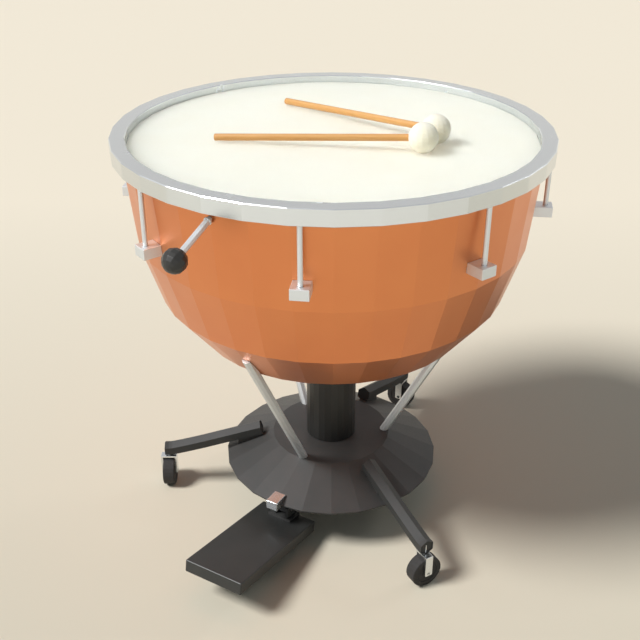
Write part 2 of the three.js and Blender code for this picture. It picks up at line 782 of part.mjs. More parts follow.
function makePedal() {
  const plate = bevelledPlate(pedalWidth, pedalLength, pedalThickness, pedalEdge)
    .translate(0, -pedalLength / 2, -pedalThickness / 2)
    .rotateX(-pedalSlope)
    .translate(0, -pedalInnerReach, pedalInnerHeight);
  place("pedal_plate", plate, "pedalEnamel");

  const outerEar = hingeReach + earLength / 2;
  const innerEar = hingeReach - earLength / 2;
  const side = (hangerWidth + earThickness) / 2 + runningGap;
  const padHeight = (reach) => pedalInnerHeight + (reach - pedalInnerReach) * Math.tan(pedalSlope);
  const pad = new THREE.BoxGeometry(leverPadWidth, leverPadLength, leverPadThickness)
    .translate(0, -leverPadLength / 2, leverPadThickness / 2 + seatGap)
    .rotateX(-pedalSlope)
    .translate(0, -pedalInnerReach, pedalInnerHeight);
  const earFoot = padHeight(hingeReach) + leverPadThickness / 2;
  const ears = [-side, side].map((x) =>
    block(innerEar, outerEar, earFoot, hingeHeight + earTop, earThickness, x),
  );
  const webOuter = hingeReach - hangerThickness / 2 - seatGap * 6;
  const web = block(
    webOuter - leverWeb,
    webOuter,
    padHeight(webOuter - leverWeb) + leverPadThickness / 2,
    hingeHeight + tailHeight / 2,
    2 * side + earThickness,
  );
  const tail = block(
    linkReach - tailHeight / 2 - earThickness / 2,
    webOuter - leverWeb / 2,
    hingeHeight - tailHeight / 2,
    hingeHeight + tailHeight / 2,
    tailWidth,
  );
  const lever = cut(
    join(pad, ...ears, web, tail),
    crossPin(hingeReach, hingeHeight, hingeBore, leverPadWidth),
    crossPin(linkReach, hingeHeight, linkPinRadius + runningGap, tailWidth),
  );
  place("pedal_lever", lever, "blackSteel");
  const pinHalf = side + earThickness / 2 + runningGap * 2;
  place("pedal_hinge_pin", crossPin(hingeReach, hingeHeight, hingePinRadius, pinHalf), "steel");
}

function makeHangerAndBlock() {
  const padTop = baseFoot - seatGap;
  const [inner, outer] = [hingeReach - hangerThickness / 2, hingeReach + hangerThickness / 2];
  const hanger = join(
    block(inner, outer, hingeHeight - hangerDrop, padTop, hangerWidth),
    block(inner, hangerPadReach, padTop - hangerPadThickness, padTop, hangerWidth),
    upright(studRadius, padTop - hangerPadThickness / 2, studTop, rodSides).translate(0, -studReach, 0),
  );
  place("pedal_hanger", cut(hanger, crossPin(hingeReach, hingeHeight, hingeBore, hangerWidth)), "castIron");

  const clamp = bevelledPlate(blockWidth, blockLength, blockHeight, blockEdge)
    .translate(0, -blockOuterReach + blockLength / 2, blockTop - blockHeight / 2);
  const bore = upright(studRadius + runningGap, baseFoot - overrun, studTop + seatGap, rodSides);
  place("clamp_block", cut(clamp, baseOutside, bore.translate(0, -studReach, 0)), "chrome");
}

function makeLinkAndRocker() {
  const plateInner = Math.max(rockerWidth, tailWidth) / 2 + runningGap;
  const plate = block(
    linkReach - linkWidth / 2,
    linkReach + linkWidth / 2,
    hingeHeight - linkWidth / 2,
    rockerHeight + linkWidth / 2,
    linkThickness,
    plateInner + linkThickness / 2,
  );
  const pinLength = plateInner + linkThickness / 2;
  const pins = [hingeHeight, rockerHeight].map((height) =>
    crossPin(linkReach, height, linkPinRadius, pinLength / 2 + rockerWidth / 4)
      .translate(pinLength / 2 - rockerWidth / 4, 0, 0),
  );
  place("pedal_link", join(plate, ...pins), "steel");

  const [foot, top] = [rockerHeight - rockerThickness / 2, rockerHeight + rockerThickness / 2];
  const rocker = cut(
    join(
      block(0, linkReach + rockerEnd, foot, top, rockerWidth),
      upright(mainRodRadius + rockerFootGap + rockerBossWall, foot, top, columnSides),
    ),
    upright(mainRodRadius + rockerFootGap, foot - overrun, top + overrun, columnSides),
    crossPin(rockerPivotReach, rockerHeight, rockerPinRadius + runningGap, rockerWidth),
    block(
      linkReach - rockerSlotLength / 2,
      linkReach + rockerSlotLength / 2,
      rockerHeight - linkPinRadius - runningGap,
      rockerHeight + linkPinRadius + runningGap,
      2 * rockerWidth,
    ),
  );
  place("rocker", rocker, "castIron");
  const half = rockerWidth / 2 + rockerEarThickness + 2 * runningGap;
  place("rocker_pin", crossPin(rockerPivotReach, rockerHeight, rockerPinRadius, half), "steel");
}

// Tuning handle and mallets

function makeTuner() {
  const shaft = join(
    bar(
      tunerAt(bowlRadius - tunerSocketDepth + runningGap),
      tunerAt(bowlRadius + 2 * tunerCollarThickness),
      tunerPivotRadius,
      strutSides,
    ),
    bar(
      tunerAt(bowlRadius + 1.5 * tunerCollarThickness),
      tunerAt(tunerKnobReach - seatGap),
      tunerRodRadius,
      strutSides,
    ),
    bar(
      tunerAt(bowlRadius + tunerCollarThickness),
      tunerAt(bowlRadius + 2 * tunerCollarThickness),
      tunerCollarRadius,
      rodSides,
    ),
  );
  place("tuner_handle", shaft, "chrome");
  const knob = new THREE.SphereGeometry(tunerKnobRadius, rodSides, strutSides)
    .rotateX(-tunerSlope)
    .translate(0, -tunerKnobReach, tunerKnobHeight);
  const mouth = tunerAt(tunerKnobReach - 2 * knobBore);
  const bore = bar(mouth, tunerAt(tunerKnobReach), tunerRodRadius + seatGap, strutSides);
  place("tuner_knob", cut(knob, bore), "ballPlastic");
}

function makeMallet({ alongShare, aside, heading }, number) {
  const mallet = new THREE.Group();
  const lean = Math.asin((malletHeadRadius - malletStickRadius) / malletStickLength);
  mallet.position.set(
    alongShare * hoopOpeningRadius,
    malletAcrossShare * hoopOpeningRadius + aside,
    headTop + seatGap + malletHeadRadius,
  );
  mallet.rotation.set(0, -lean, heading, "ZYX");
  drum.add(mallet);

  const [r, b, tip] = [malletStickRadius, -malletStickLength, malletTip];
  const edge = malletStickRadius / 3;
  const outline = [[0, b], [r - edge, b], [r, b + edge], [r, tip - edge], [r - edge, tip], [0, tip]];
  const stick = turned(outline, rodSides).rotateY(Math.PI / 2);
  place(`mallet_stick_${number}`, stick, "maple", 0, mallet);
  const end = tip + seatGap;
  const bore = turned([[0, b], [r + seatGap, b], [r + seatGap, end], [0, end]], rodSides);
  const felt = new THREE.SphereGeometry(malletHeadRadius, 2 * strutSides, rodSides).rotateX(Math.PI / 2);
  place(`mallet_head_${number}`, cut(felt, bore.rotateY(Math.PI / 2)), "felt", 0, mallet);
}

makeBowl();
makeBearingRing();
makeHead();
makeHoops();
rodAngles.forEach((angle, i) => makeTensioning(angle, i + 1));
makeSpiderAndMainRod();
makeSpring();
makeColumn();
makeBase();
strutAngles.forEach((angle, i) => makeStrut(angle, i + 1));
legAngles.forEach((angle, i) => makeLeg(angle, i + 1));
legAngles.forEach((angle, i) => makeCaster(angle, i + 1));
makePedal();
makeHangerAndBlock();
makeLinkAndRocker();
makeTuner();
malletSpots.forEach((spot, i) => makeMallet(spot, i + 1));

// The origin is on the floor, under the middle of the drum's outline seen from above.
const bounds = new THREE.Box3().setFromObject(drum, true);
const middle = bounds.getCenter(new THREE.Vector3());
drum.position.set(-middle.x, -middle.y, -bounds.min.z);

export default drum;
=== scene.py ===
"""A pedal kettledrum: a copper kettle under a chromed hoop, on a black wheeled stand, with two felt mallets.

Each piece is modelled at its own place. Reach is the distance from the drum's upright axis, and angle 0 is
the player's side, towards -Y. Sizes are in millimetres and angles in degrees, where a comment says
nothing else.
"""

import bisect
import math

import bmesh
import bpy
from mathutils import Matrix, Vector
from mathutils.geometry import interpolate_bezier


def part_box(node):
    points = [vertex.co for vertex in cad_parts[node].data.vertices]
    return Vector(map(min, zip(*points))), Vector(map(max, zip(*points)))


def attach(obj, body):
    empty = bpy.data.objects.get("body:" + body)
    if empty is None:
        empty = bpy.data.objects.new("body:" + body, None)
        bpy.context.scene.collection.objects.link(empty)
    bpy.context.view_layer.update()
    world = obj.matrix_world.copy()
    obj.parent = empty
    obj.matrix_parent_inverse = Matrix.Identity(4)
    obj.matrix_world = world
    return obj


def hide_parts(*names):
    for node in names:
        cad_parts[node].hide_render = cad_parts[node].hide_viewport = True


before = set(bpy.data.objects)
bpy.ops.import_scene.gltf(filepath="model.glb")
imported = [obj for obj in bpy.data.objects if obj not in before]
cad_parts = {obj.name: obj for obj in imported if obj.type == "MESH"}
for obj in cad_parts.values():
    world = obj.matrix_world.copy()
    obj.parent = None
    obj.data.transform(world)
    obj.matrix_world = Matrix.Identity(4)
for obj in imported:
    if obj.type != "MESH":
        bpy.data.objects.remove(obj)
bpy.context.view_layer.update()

MM = 0.001
QUARTER = math.pi / 2

column_low, column_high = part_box("column")
AXIS = Vector((0, (column_low.y + column_high.y) / 2, 0))


def measured(cad_node):
    """The lowest and highest corners of a CAD node, in millimetres from the foot of the drum's axis."""
    low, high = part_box(cad_node)
    return (low - AXIS) / MM, (high - AXIS) / MM


# Clearances
SEAT_GAP = 0.3  # between pieces that lie on each other
RUNNING_GAP = 0.6  # round a shaft that turns or slides
OVERRUN = 6  # how far a cutter passes the face that it cuts

# Sides of the round pieces
RIM_SIDES = 36
STAND_SIDES = 24
PIN_SIDES = 12
BAR_SIDES = 8
LEG_SIDES = 6
KNOB_SIDES, KNOB_RINGS = 12, 8
FELT_SIDES, FELT_RINGS, FELT_CUTS = 16, 12, 3

# Places of what repeats round the drum
ROD_ANGLES = [22.5 + 45 * i for i in range(8)]
STRUT_ANGLES = [0, 120, 240]
LEG_ANGLES = [60, 180, 300]

# Counter hoop
hoop_low, hoop_high = measured("counter_hoop")
HOOP_REACH, HOOP_FOOT, HOOP_TOP = hoop_high.x, hoop_low.z, hoop_high.z
HOOP_FLANGE_WIDTH = 27.6
HOOP_FLANGE_THICKNESS = 17
HOOP_WALL = 14
HOOP_OPENING = HOOP_REACH - HOOP_FLANGE_WIDTH
HOOP_FLANGE_FOOT = HOOP_TOP - HOOP_FLANGE_THICKNESS
HOOP_TOP_EDGE = 1.3
HOOP_FOOT_EDGE = 0.7

# Head: the film, from the bearing edge's crown out and down over its collar
head_high = measured("drum_head")[1]
HEAD_TOP, COLLAR_REACH = head_high.z, head_high.x
EDGE_INSET = 10.2  # of the crown from the hoop's opening
COLLAR_DROP = 13.5
COLLAR_SHARES = [(0.557, 0.022), (0.739, 0.096), (0.817, 0.274), (0.843, 0.726), (1, 1)]  # out, down
FILM_THICKNESS = 0.8

# Kettle
kettle_low, kettle_high = measured("kettle_bowl")
MOUTH_REACH, MOUTH_HEIGHT, KETTLE_FOOT = kettle_high.x, kettle_high.z, kettle_low.z
KETTLE_SHARES = [(1, 1), (0.962, 0.662), (0.8667, 0.4048), (0.692, 0.2193), (0.4343, 0.0786), (0.16, 0)]
KETTLE_HEIGHT = MOUTH_HEIGHT - KETTLE_FOOT
KETTLE_LINE = [(out * MOUTH_REACH, KETTLE_FOOT + up * KETTLE_HEIGHT) for out, up in KETTLE_SHARES]
KETTLE_WALL = 2.5
MAIN_HOLE = 16  # radius of the hole for the main rod, in the kettle and the column

# Tension rods and the lugs that guide them
rod_low, rod_high = measured("tension_rod_1")
ROD_RADIUS = 4.4
ROD_REACH = HOOP_REACH - 8  # 8 in from the hoop's outside
ROD_SOCKET_DEPTH = 12.5
ROD_EDGE = 0.5
lug_low, lug_high = measured("lug_1")
LUG_FOOT, LUG_TOP = lug_low.z, lug_high.z
LUG_MIDDLE = (LUG_FOOT + LUG_TOP) / 2
LUG_WIDTH = 31
LUG_OVERHANG = 12.4  # past the rods
LUG_REACH = ROD_REACH + LUG_OVERHANG
LUG_START = 350  # inside the kettle, before the lug is cut to the kettle's side
LUG_GAP = 0.35
LUG_EDGE = 0.9
LUG_WALL = 2.6
LUG_HOLLOW = 29.8  # how far it is hollow, from the kettle outwards
SLOT_REACH = 371
SLOT_SIZE = (18.2, 56, 13.2)  # of the slots in the kettle's side, behind the lugs

# Column, cast base and struts
COLUMN_RADIUS, COLUMN_FOOT, COLUMN_TOP = column_high.x / MM, column_low.z / MM, column_high.z / MM
COLUMN_WALL = 5.5
COLUMN_PLATE = 8
COLUMN_EDGE = 0.8
base_low, base_high = measured("base_casting")
BASE_REACH, BASE_FOOT, BASE_TOP = base_high.x, base_low.z, base_high.z
BASE_TOP_REACH = 121.8
BASE_LIP = 2.6
STRUT_RADIUS = 8.9
STRUT_INSET = 8.8  # of their feet on the base's flat top
STRUT_RISE = 132  # of their upper ends over the kettle's foot
STRUT_TAIL = 12  # how far they are too long at both ends, before they are cut

# Casters
fork_low, fork_high = measured("caster_fork_2")
wheel_low, wheel_high = measured("caster_wheel_2")
CASTER_REACH = (fork_low.y + fork_high.y) / 2
FORK_WIDTH, FORK_DEPTH = fork_high.x - fork_low.x, fork_high.y - fork_low.y
FORK_WALL = 4
FORK_FOOT, STEM_TOP = fork_low.z, fork_high.z
FORK_TOP = STEM_TOP - 20  # the stem stands 20 high on it
FORK_FOOT_EDGE = 3
FORK_TOP_EDGE = 0.9
STEM_RADIUS = 4
STEM_ROOT = 1.5  # how deep it stands in the fork's crown
STEM_EDGE = 0.5
AXLE_RADIUS = 4
AXLE_EDGE = 0.6
AXLE_HEIGHT = wheel_high.z / 2
WHEEL_WIDTH = wheel_high.y - wheel_low.y
WHEEL_RADIUS = AXLE_HEIGHT / math.cos(math.pi / STAND_SIDES)
WHEEL_EDGE = 1.6
TYRE_WALL = 8
TYRE_STEP = (1.2, 1.5)  # how wide and how deep the step inside the tyre is
WEB_WIDTH = 10
HUB_STEP = (0.8, 1.2)

# Legs
LEG_RADIUS = 16
LEG_SLOPE = 16.5
LEG_START = BASE_TOP_REACH + 25.2  # out on the cone
LEG_START_HEIGHT = BASE_TOP + 2.5  # of the tube's middle
LEG_BEND = CASTER_REACH - 61  # where it begins to turn level
LEG_END = CASTER_REACH + 6  # just past the caster
LEG_END_HEIGHT = FORK_TOP + SEAT_GAP + LEG_RADIUS
LEG_RING_SHARES = [0, 1 / 2, 7 / 12, 2 / 3, 3 / 4, 5 / 6, 11 / 12, 1]  # of its length
LEG_LAST_BEND = (CASTER_REACH - 3, LEG_END_HEIGHT + 0.12)  # over the caster, where it is nearly level
LEG_PLUG_INSET = 2

# Pedal and clamp block
hinge_low, hinge_high = measured("pedal_hinge_pin")
PEDAL_SIZE = Vector((123.7, 261.4, 25))
PEDAL_SLOPE = 10
PEDAL_INSET, PEDAL_DROP = 18.8, 24.6  # of its inner edge from the middle of the hinge pin
PEDAL_INNER_REACH = -(hinge_low.y + hinge_high.y) / 2 - PEDAL_INSET
PEDAL_INNER_HEIGHT = (hinge_low.z + hinge_high.z) / 2 - PEDAL_DROP
PEDAL_EDGE = 2.4
block_low, block_high = measured("clamp_block")
BLOCK_EDGE = 1
STUD_RADIUS = 4
STUD_REACH = BASE_REACH - 7.7  # inside the base's edge
STUD_COVER = 3  # of the block over the stud

# Tuning handle
TUNER_HEIGHT = MOUTH_HEIGHT - 7.4  # under the kettle's mouth
TUNER_LENGTH = 88.4  # from the kettle out to the knob's middle
TUNER_FALL = 34.2  # over that length
TUNER_SLOPE = math.atan(TUNER_FALL / TUNER_LENGTH)
TUNER_RADIUS = 5.6
TUNER_EDGE = 0.4
PIVOT_RADIUS = 4.2
PIVOT_DEPTH = 12.9  # into the kettle
COLLAR_RADIUS = 7
COLLAR_START, COLLAR_END = 3.2, 6.4  # from the kettle's side
COLLAR_EDGE = 0.5
SHOULDER = 5  # where the pivot meets the handle, inside the collar
KNOB_RADIUS = 20
KNOB_EDGE = 0.5

# Mallets
MALLET_HEADINGS = [20, -12.7]  # the way that each stick points
MALLET_RADIUS = 26
STICK_RADIUS = 6.2
STICK_LENGTH = 366  # from its butt to the middle of the head
STICK_TIP = 14  # past the middle of the head
STICK_EDGE = 2
STICK_LEAN = math.asin((MALLET_RADIUS - STICK_RADIUS) / STICK_LENGTH)

# How near a place counts as the one that is looked for, and how much of a direction counts
NEAR = 0.1
RING_SLACK = 0.6
FACET_SHARE = 0.006  # how far the middle of a side may lie inside its circle
WELD = 0.01
ACROSS, ALONG, FACING = 0.1, 0.9, 0.99


# Modelling

def at(angle, reach, height):
    """The point at an angle round the drum, a reach from its axis and a height."""
    turn = math.radians(angle)
    return Vector((math.sin(turn) * reach, -math.cos(turn) * reach, height)) * MM + AXIS


def rest():
    """Object mode, with nothing selected."""
    if bpy.context.object and bpy.context.object.mode != "OBJECT":
        bpy.ops.object.mode_set(mode="OBJECT")
    bpy.ops.object.select_all(action="DESELECT")


def take(piece):
    """Selects one piece alone."""
    rest()
    piece.select_set(True)
    bpy.context.view_layer.objects.active = piece


def begin(name, primitive, **shape):
    """A primitive at its size and place, open for shaping."""
    rest()
    primitive(**shape)
    piece = bpy.context.object
    piece.name = piece.data.name = name
    bpy.ops.object.transform_apply(location=True, rotation=True, scale=True)
    bpy.ops.object.mode_set(mode="EDIT")
    return piece


def block(name, size, middle, angle=0):
    """A block of a width, a length and a height."""
    return begin(
        name, bpy.ops.mesh.primitive_cube_add, size=1, location=middle,
        rotation=(0, 0, math.radians(angle)), scale=Vector(size) * MM,
    )


def shaft(name, radius, start, end, rotation, sides=PIN_SIDES):
    """A round bar between two points, with the rotation that lays it along them."""
    return begin(
        name, bpy.ops.mesh.primitive_cylinder_add, vertices=sides, radius=radius * MM,
        depth=(end - start).length, location=(start + end) / 2, rotation=rotation,
    )


def post(name, radius, foot, top, reach, angle=0):
    """An upright round bar."""
    return shaft(name, radius, at(angle, reach, foot), at(angle, reach, top), (0, 0, math.radians(angle)))


def choose(kind, test):
    """Selects the edges or faces whose middle and direction pass a test."""
    bpy.ops.mesh.select_mode(type=kind)
    bpy.ops.mesh.select_all(action="DESELECT")
    mesh = bmesh.from_edit_mesh(bpy.context.object.data)
    if kind == "EDGE":
        ends = [(e, e.verts[0].co, e.verts[1].co) for e in mesh.edges]
        found = [e for e, a, b in ends if test((a + b) / 2, (b - a).normalized())]
    else:
        found = [f for f in mesh.faces if test(f.calc_center_median(), f.normal)]
    for part in found:
        part.select_set(True)
    mesh.select_flush_mode()
    bmesh.update_edit_mesh(bpy.context.object.data)


def bevel_chosen(width, segments=2):
    bpy.ops.mesh.bevel(offset=width * MM, segments=segments, affect="EDGES", clamp_overlap=True)


def inset_chosen(thickness, depth=0):
    bpy.ops.mesh.inset(thickness=thickness * MM, depth=depth * MM, use_individual=True)


def extrude_chosen(step):
    bpy.ops.mesh.extrude_region_move(TRANSFORM_OT_translate={"value": step})


def outwards_again():
    """Turns every face of the open piece outwards."""
    bpy.ops.mesh.select_all(action="SELECT")
    bpy.ops.mesh.normals_make_consistent(inside=False)


def cut_off(point, direction, **settings):
    """Cuts the open piece along a plane."""
    bpy.ops.mesh.select_all(action="SELECT")
    bpy.ops.mesh.bisect(plane_co=point, plane_no=direction, **settings)


def apply(piece, kind, **settings):
    """Adds a modifier and applies it."""
    take(piece)
    modifier = piece.modifiers.new(kind.title(), kind)
    for key, value in settings.items():
        setattr(modifier, key, value)
    bpy.ops.object.modifier_apply(modifier=modifier.name)


def cut_away(piece, cutter):
    """Takes the cutter's form out of a piece, and the cutter away."""
    apply(piece, "BOOLEAN", operation="DIFFERENCE", object=cutter, solver="EXACT")
    bpy.data.objects.remove(cutter, do_unlink=True)


def join_pieces(piece, *others):
    rest()
    for other in others:
        other.select_set(True)
    piece.select_set(True)
    bpy.context.view_layer.objects.active = piece
    bpy.ops.object.join()
    return piece


def settle(piece, transform):
    """Puts a piece in its place and leaves its object at the origin."""
    take(piece)
    piece.matrix_world = transform @ piece.matrix_world
    bpy.ops.object.transform_apply(location=True, rotation=True, scale=True)


def copies(piece, name, angles):
    """The piece, made at angle 0, and copies of it with their own meshes, each at its angle."""
    made = [piece]
    for _ in angles[1:]:
        take(piece)
        bpy.ops.object.duplicate()
        made.append(bpy.context.object)
    move = Matrix.Translation(AXIS)
    for i, (one, angle) in enumerate(zip(made, angles), 1):
        one.name = one.data.name = f"{name}_{i}"
        settle(one, move @ Matrix.Rotation(math.radians(angle), 4, "Z") @ move.inverted())
    return made


def spun(name, section, sides):
    """A section drawn point by point at angle 0, then spun round the drum's axis."""
    piece = begin(name, bpy.ops.mesh.primitive_plane_add, size=MM, location=at(0, *section[0]))
    bpy.ops.mesh.select_mode(type="VERT")
    bpy.ops.mesh.select_all(action="SELECT")
    bpy.ops.mesh.merge(type="CENTER")
    for start, end in zip(section, section[1:]):
        step = at(0, *end) - at(0, *start)
        bpy.ops.mesh.extrude_vertices_move(TRANSFORM_OT_translate={"value": step})
    bpy.ops.mesh.select_all(action="SELECT")
    bpy.ops.mesh.spin(steps=sides, angle=2 * math.pi, center=AXIS, axis=(0, 0, 1))
    bpy.ops.mesh.select_all(action="SELECT")
    bpy.ops.mesh.remove_doubles(threshold=WELD * MM)
    bpy.ops.mesh.normals_make_consistent(inside=False)
    return piece


def widen_chosen(share):
    """Makes what is chosen wider or narrower round the drum's axis."""
    bpy.ops.transform.resize(value=(share, share, 1), center_override=AXIS)


def bevel_rings(places, width, segments=2):
    """Bevels the edges that run round the drum at (reach, height) places."""
    def on_a_ring(middle, direction):
        flat = Vector((middle.x, middle.y, 0)) - AXIS
        level = abs(direction.z) < WELD and abs(direction.dot(flat.normalized())) < 2 * ACROSS
        return level and any(
            abs(middle.z / MM - height) < RING_SLACK
            and abs(flat.length / MM - reach) < FACET_SHARE * reach + RING_SLACK
            for reach, height in places
        )
    choose("EDGE", on_a_ring)
    bevel_chosen(width, segments)


def bevel_ends(width, along=Vector((0, 0, 1))):
    """Bevels the edges round the ends of an open bar."""
    choose("EDGE", lambda middle, direction: abs(direction.dot(along)) < ACROSS)
    bevel_chosen(width)


# Materials

def linear(code):
    """An sRGB hex value as the linear colour that a node takes."""
    parts = [int(code[i:i + 2], 16) / 255 for i in (1, 3, 5)]
    return [p / 12.92 if p <= 0.04045 else ((p + 0.055) / 1.055) ** 2.4 for p in parts] + [1.0]


def node(tree, kind, inputs, **settings):
    """Adds a node with its settings, its values and its links. A node among the inputs lends its output."""
    made = tree.nodes.new("ShaderNode" + kind)
    for key, value in settings.items():
        setattr(made, key, value)
    for key, value in inputs.items():
        if isinstance(value, bpy.types.Node):
            value = next(socket for socket in value.outputs if socket.enabled)
        if isinstance(value, bpy.types.NodeSocket):
            tree.links.new(value, made.inputs[key])
        else:
            made.inputs[key].default_value = linear(value) if isinstance(value, str) else value
    return made


# The colour sockets of a mix node, and the middle values of a noise, which are most of it
FIRST, SECOND = 6, 7
NOISE_MIDDLE = {"From Min": 0.3, "From Max": 0.7}


def new_finish(name):
    """A material, its nodes and the piece's own coordinates."""
    material = bpy.data.materials.new(name)
    material.use_nodes = True
    tree = material.node_tree
    tree.nodes.clear()
    return material, tree, node(tree, "TexCoord", {}).outputs["Object"]


def spun_copper():
    """Copper sheet, spun on a lathe and lacquered. Warm and softly blurred, with faint rings from the
    spinning tool and slow changes of tone."""
    tool_gap, tool_depth = 1.5, 0.012  # coarser than real marks, so that they show
    cloud_size, smear_size = 140, 60
    material, tree, place = new_finish("lacquered_spun_copper")
    height = node(tree, "SeparateXYZ", {"Vector": place}).outputs["Z"]
    rings = node(tree, "TexNoise", {"W": height, "Scale": 1 / (tool_gap * MM)}, noise_dimensions="1D")
    clouds = node(tree, "TexNoise", {"Vector": place, "Scale": 1 / (cloud_size * MM), "Detail": 3})
    tone = node(tree, "MapRange", {"Value": clouds, **NOISE_MIDDLE})
    smears = node(tree, "TexNoise", {"Vector": place, "Scale": 1 / (smear_size * MM), "Detail": 5})
    colour = node(tree, "Mix", {"Factor": tone, FIRST: "#E28952", SECOND: "#E68F56"}, data_type="RGBA")
    roughness = node(tree, "MapRange", {"Value": smears, **NOISE_MIDDLE, "To Min": 0.36, "To Max": 0.43})
    shader = node(tree, "BsdfPrincipled", {
        "Metallic": 1, "Coat Weight": 0.6, "Coat Roughness": 0.3,
        "Base Color": colour,
        "Roughness": roughness,
        "Normal": node(tree, "Bump", {"Height": rings, "Distance": tool_depth * MM, "Strength": 1}),
    })
    node(tree, "OutputMaterial", {"Surface": shader})
    return material


def chrome_plate(name, smooth, rough):
    """Chrome over steel. Bright and neutral, with the faint haze of wiped metal."""
    haze_size = 70
    material, tree, place = new_finish(name)
    haze = node(tree, "TexNoise", {"Vector": place, "Scale": 1 / (haze_size * MM), "Detail": 4})
    tone = node(tree, "MapRange", {"Value": haze, **NOISE_MIDDLE})
    colour = node(tree, "Mix", {"Factor": tone, FIRST: "#E1E5E8", SECOND: "#E4E8EA"}, data_type="RGBA")
    roughness = node(tree, "MapRange", {"Value": haze, **NOISE_MIDDLE, "To Min": smooth, "To Max": rough})
    shader = node(tree, "BsdfPrincipled", {
        "Metallic": 1,
        "Base Color": colour,
        "Roughness": roughness,
    })
    node(tree, "OutputMaterial", {"Surface": shader})
    return material


def drum_film():
    """Polyester film, sanded to a milky white. Nearly flat and matte, with a very fine tooth, the faint
    cloudiness of a coated sheet, and light that wanders in it so that shadows on it stay pale and warm."""
    cloud_size, glow_size = 90, 135
    tooth_size, tooth_depth = 0.9, 0.02  # coarser than a real tooth, so that it shows
    material, tree, place = new_finish("milky_sanded_film")
    clouds = node(tree, "TexNoise", {"Vector": place, "Scale": 1 / (cloud_size * MM), "Detail": 4})
    tone = node(tree, "MapRange", {"Value": clouds, **NOISE_MIDDLE})
    tooth = node(tree, "TexNoise", {"Vector": place, "Scale": 1 / (tooth_size * MM), "Detail": 2})
    colour = node(tree, "Mix", {"Factor": tone, FIRST: "#FEFBEB", SECOND: "#FFFDEF"}, data_type="RGBA")
    roughness = node(tree, "MapRange", {"Value": tooth, **NOISE_MIDDLE, "To Min": 0.5, "To Max": 0.62})
    shader = node(tree, "BsdfPrincipled", {
        "Base Color": colour,
        "Roughness": roughness,
        "Subsurface Weight": 1, "Subsurface Radius": (1, 0.94, 0.86), "Subsurface Scale": glow_size * MM,
        "Normal": node(tree, "Bump", {"Height": tooth, "Distance": tooth_depth * MM, "Strength": 1}),
    }, subsurface_method="BURLEY")
    node(tree, "OutputMaterial", {"Surface": shader})
    return material


def machined_aluminium():
    """Aluminium alloy turned on a lathe. Pale grey with fine rings."""
    tool_gap, tool_depth = 0.8, 0.02  # coarser than real marks, so that they show
    tone_size = 25
    material, tree, place = new_finish("turned_aluminium")
    height = node(tree, "SeparateXYZ", {"Vector": place}).outputs["Z"]
    rings = node(tree, "TexNoise", {"W": height, "Scale": 1 / (tool_gap * MM)}, noise_dimensions="1D")
    patches = node(tree, "TexNoise", {"Vector": place, "Scale": 1 / (tone_size * MM), "Detail": 3})
    tone = node(tree, "MapRange", {"Value": patches, **NOISE_MIDDLE})
    colour = node(tree, "Mix", {"Factor": tone, FIRST: "#B9BBBD", SECOND: "#C8CACC"}, data_type="RGBA")
    roughness = node(tree, "MapRange", {"Value": patches, **NOISE_MIDDLE, "To Min": 0.35, "To Max": 0.5})
    shader = node(tree, "BsdfPrincipled", {
        "Metallic": 1,
        "Base Color": colour,
        "Roughness": roughness,
        "Normal": node(tree, "Bump", {"Height": rings, "Distance": tool_depth * MM, "Strength": 1}),
    })
    node(tree, "OutputMaterial", {"Surface": shader})
    return material


def black_finish(name, dark, light, lump_size, depth, smooth, rough, gloss=0.5):
    """A black surface: tone that wanders a little, and lumps of a size and a depth in millimetres."""
    tone_size = 45
    material, tree, place = new_finish(name)
    patches = node(tree, "TexNoise", {"Vector": place, "Scale": 1 / (tone_size * MM), "Detail": 5})
    tone = node(tree, "MapRange", {"Value": patches, **NOISE_MIDDLE})
    lumps = node(
        tree, "TexNoise", {"Vector": place, "Scale": 1 / (lump_size * MM), "Detail": 4, "Roughness": 0.55}
    )
    colour = node(tree, "Mix", {"Factor": tone, FIRST: dark, SECOND: light}, data_type="RGBA")
    roughness = node(tree, "MapRange", {"Value": lumps, **NOISE_MIDDLE, "To Min": smooth, "To Max": rough})
    shader = node(tree, "BsdfPrincipled", {
        "Specular IOR Level": gloss,
        "Base Color": colour,
        "Roughness": roughness,
        "Normal": node(tree, "Bump", {"Height": lumps, "Distance": depth * MM, "Strength": 1}),
    })
    node(tree, "OutputMaterial", {"Surface": shader})
    return material


def bare_metal(name, dark, light, grain_size, smooth, rough, depth, metallic=1):
    """Bare metal, from a soft shine to a dull grey, with a grain of a size in millimetres."""
    material, tree, place = new_finish(name)
    grain = node(tree, "TexNoise", {"Vector": place, "Scale": 1 / (grain_size * MM), "Detail": 5})
    tone = node(tree, "MapRange", {"Value": grain, **NOISE_MIDDLE})
    colour = node(tree, "Mix", {"Factor": tone, FIRST: dark, SECOND: light}, data_type="RGBA")
    roughness = node(tree, "MapRange", {"Value": grain, **NOISE_MIDDLE, "To Min": smooth, "To Max": rough})
    shader = node(tree, "BsdfPrincipled", {
        "Metallic": metallic,
        "Base Color": colour,
        "Roughness": roughness,
        "Normal": node(tree, "Bump", {"Height": grain, "Distance": depth * MM, "Strength": 1}),
    })
    node(tree, "OutputMaterial", {"Surface": shader})
    return material


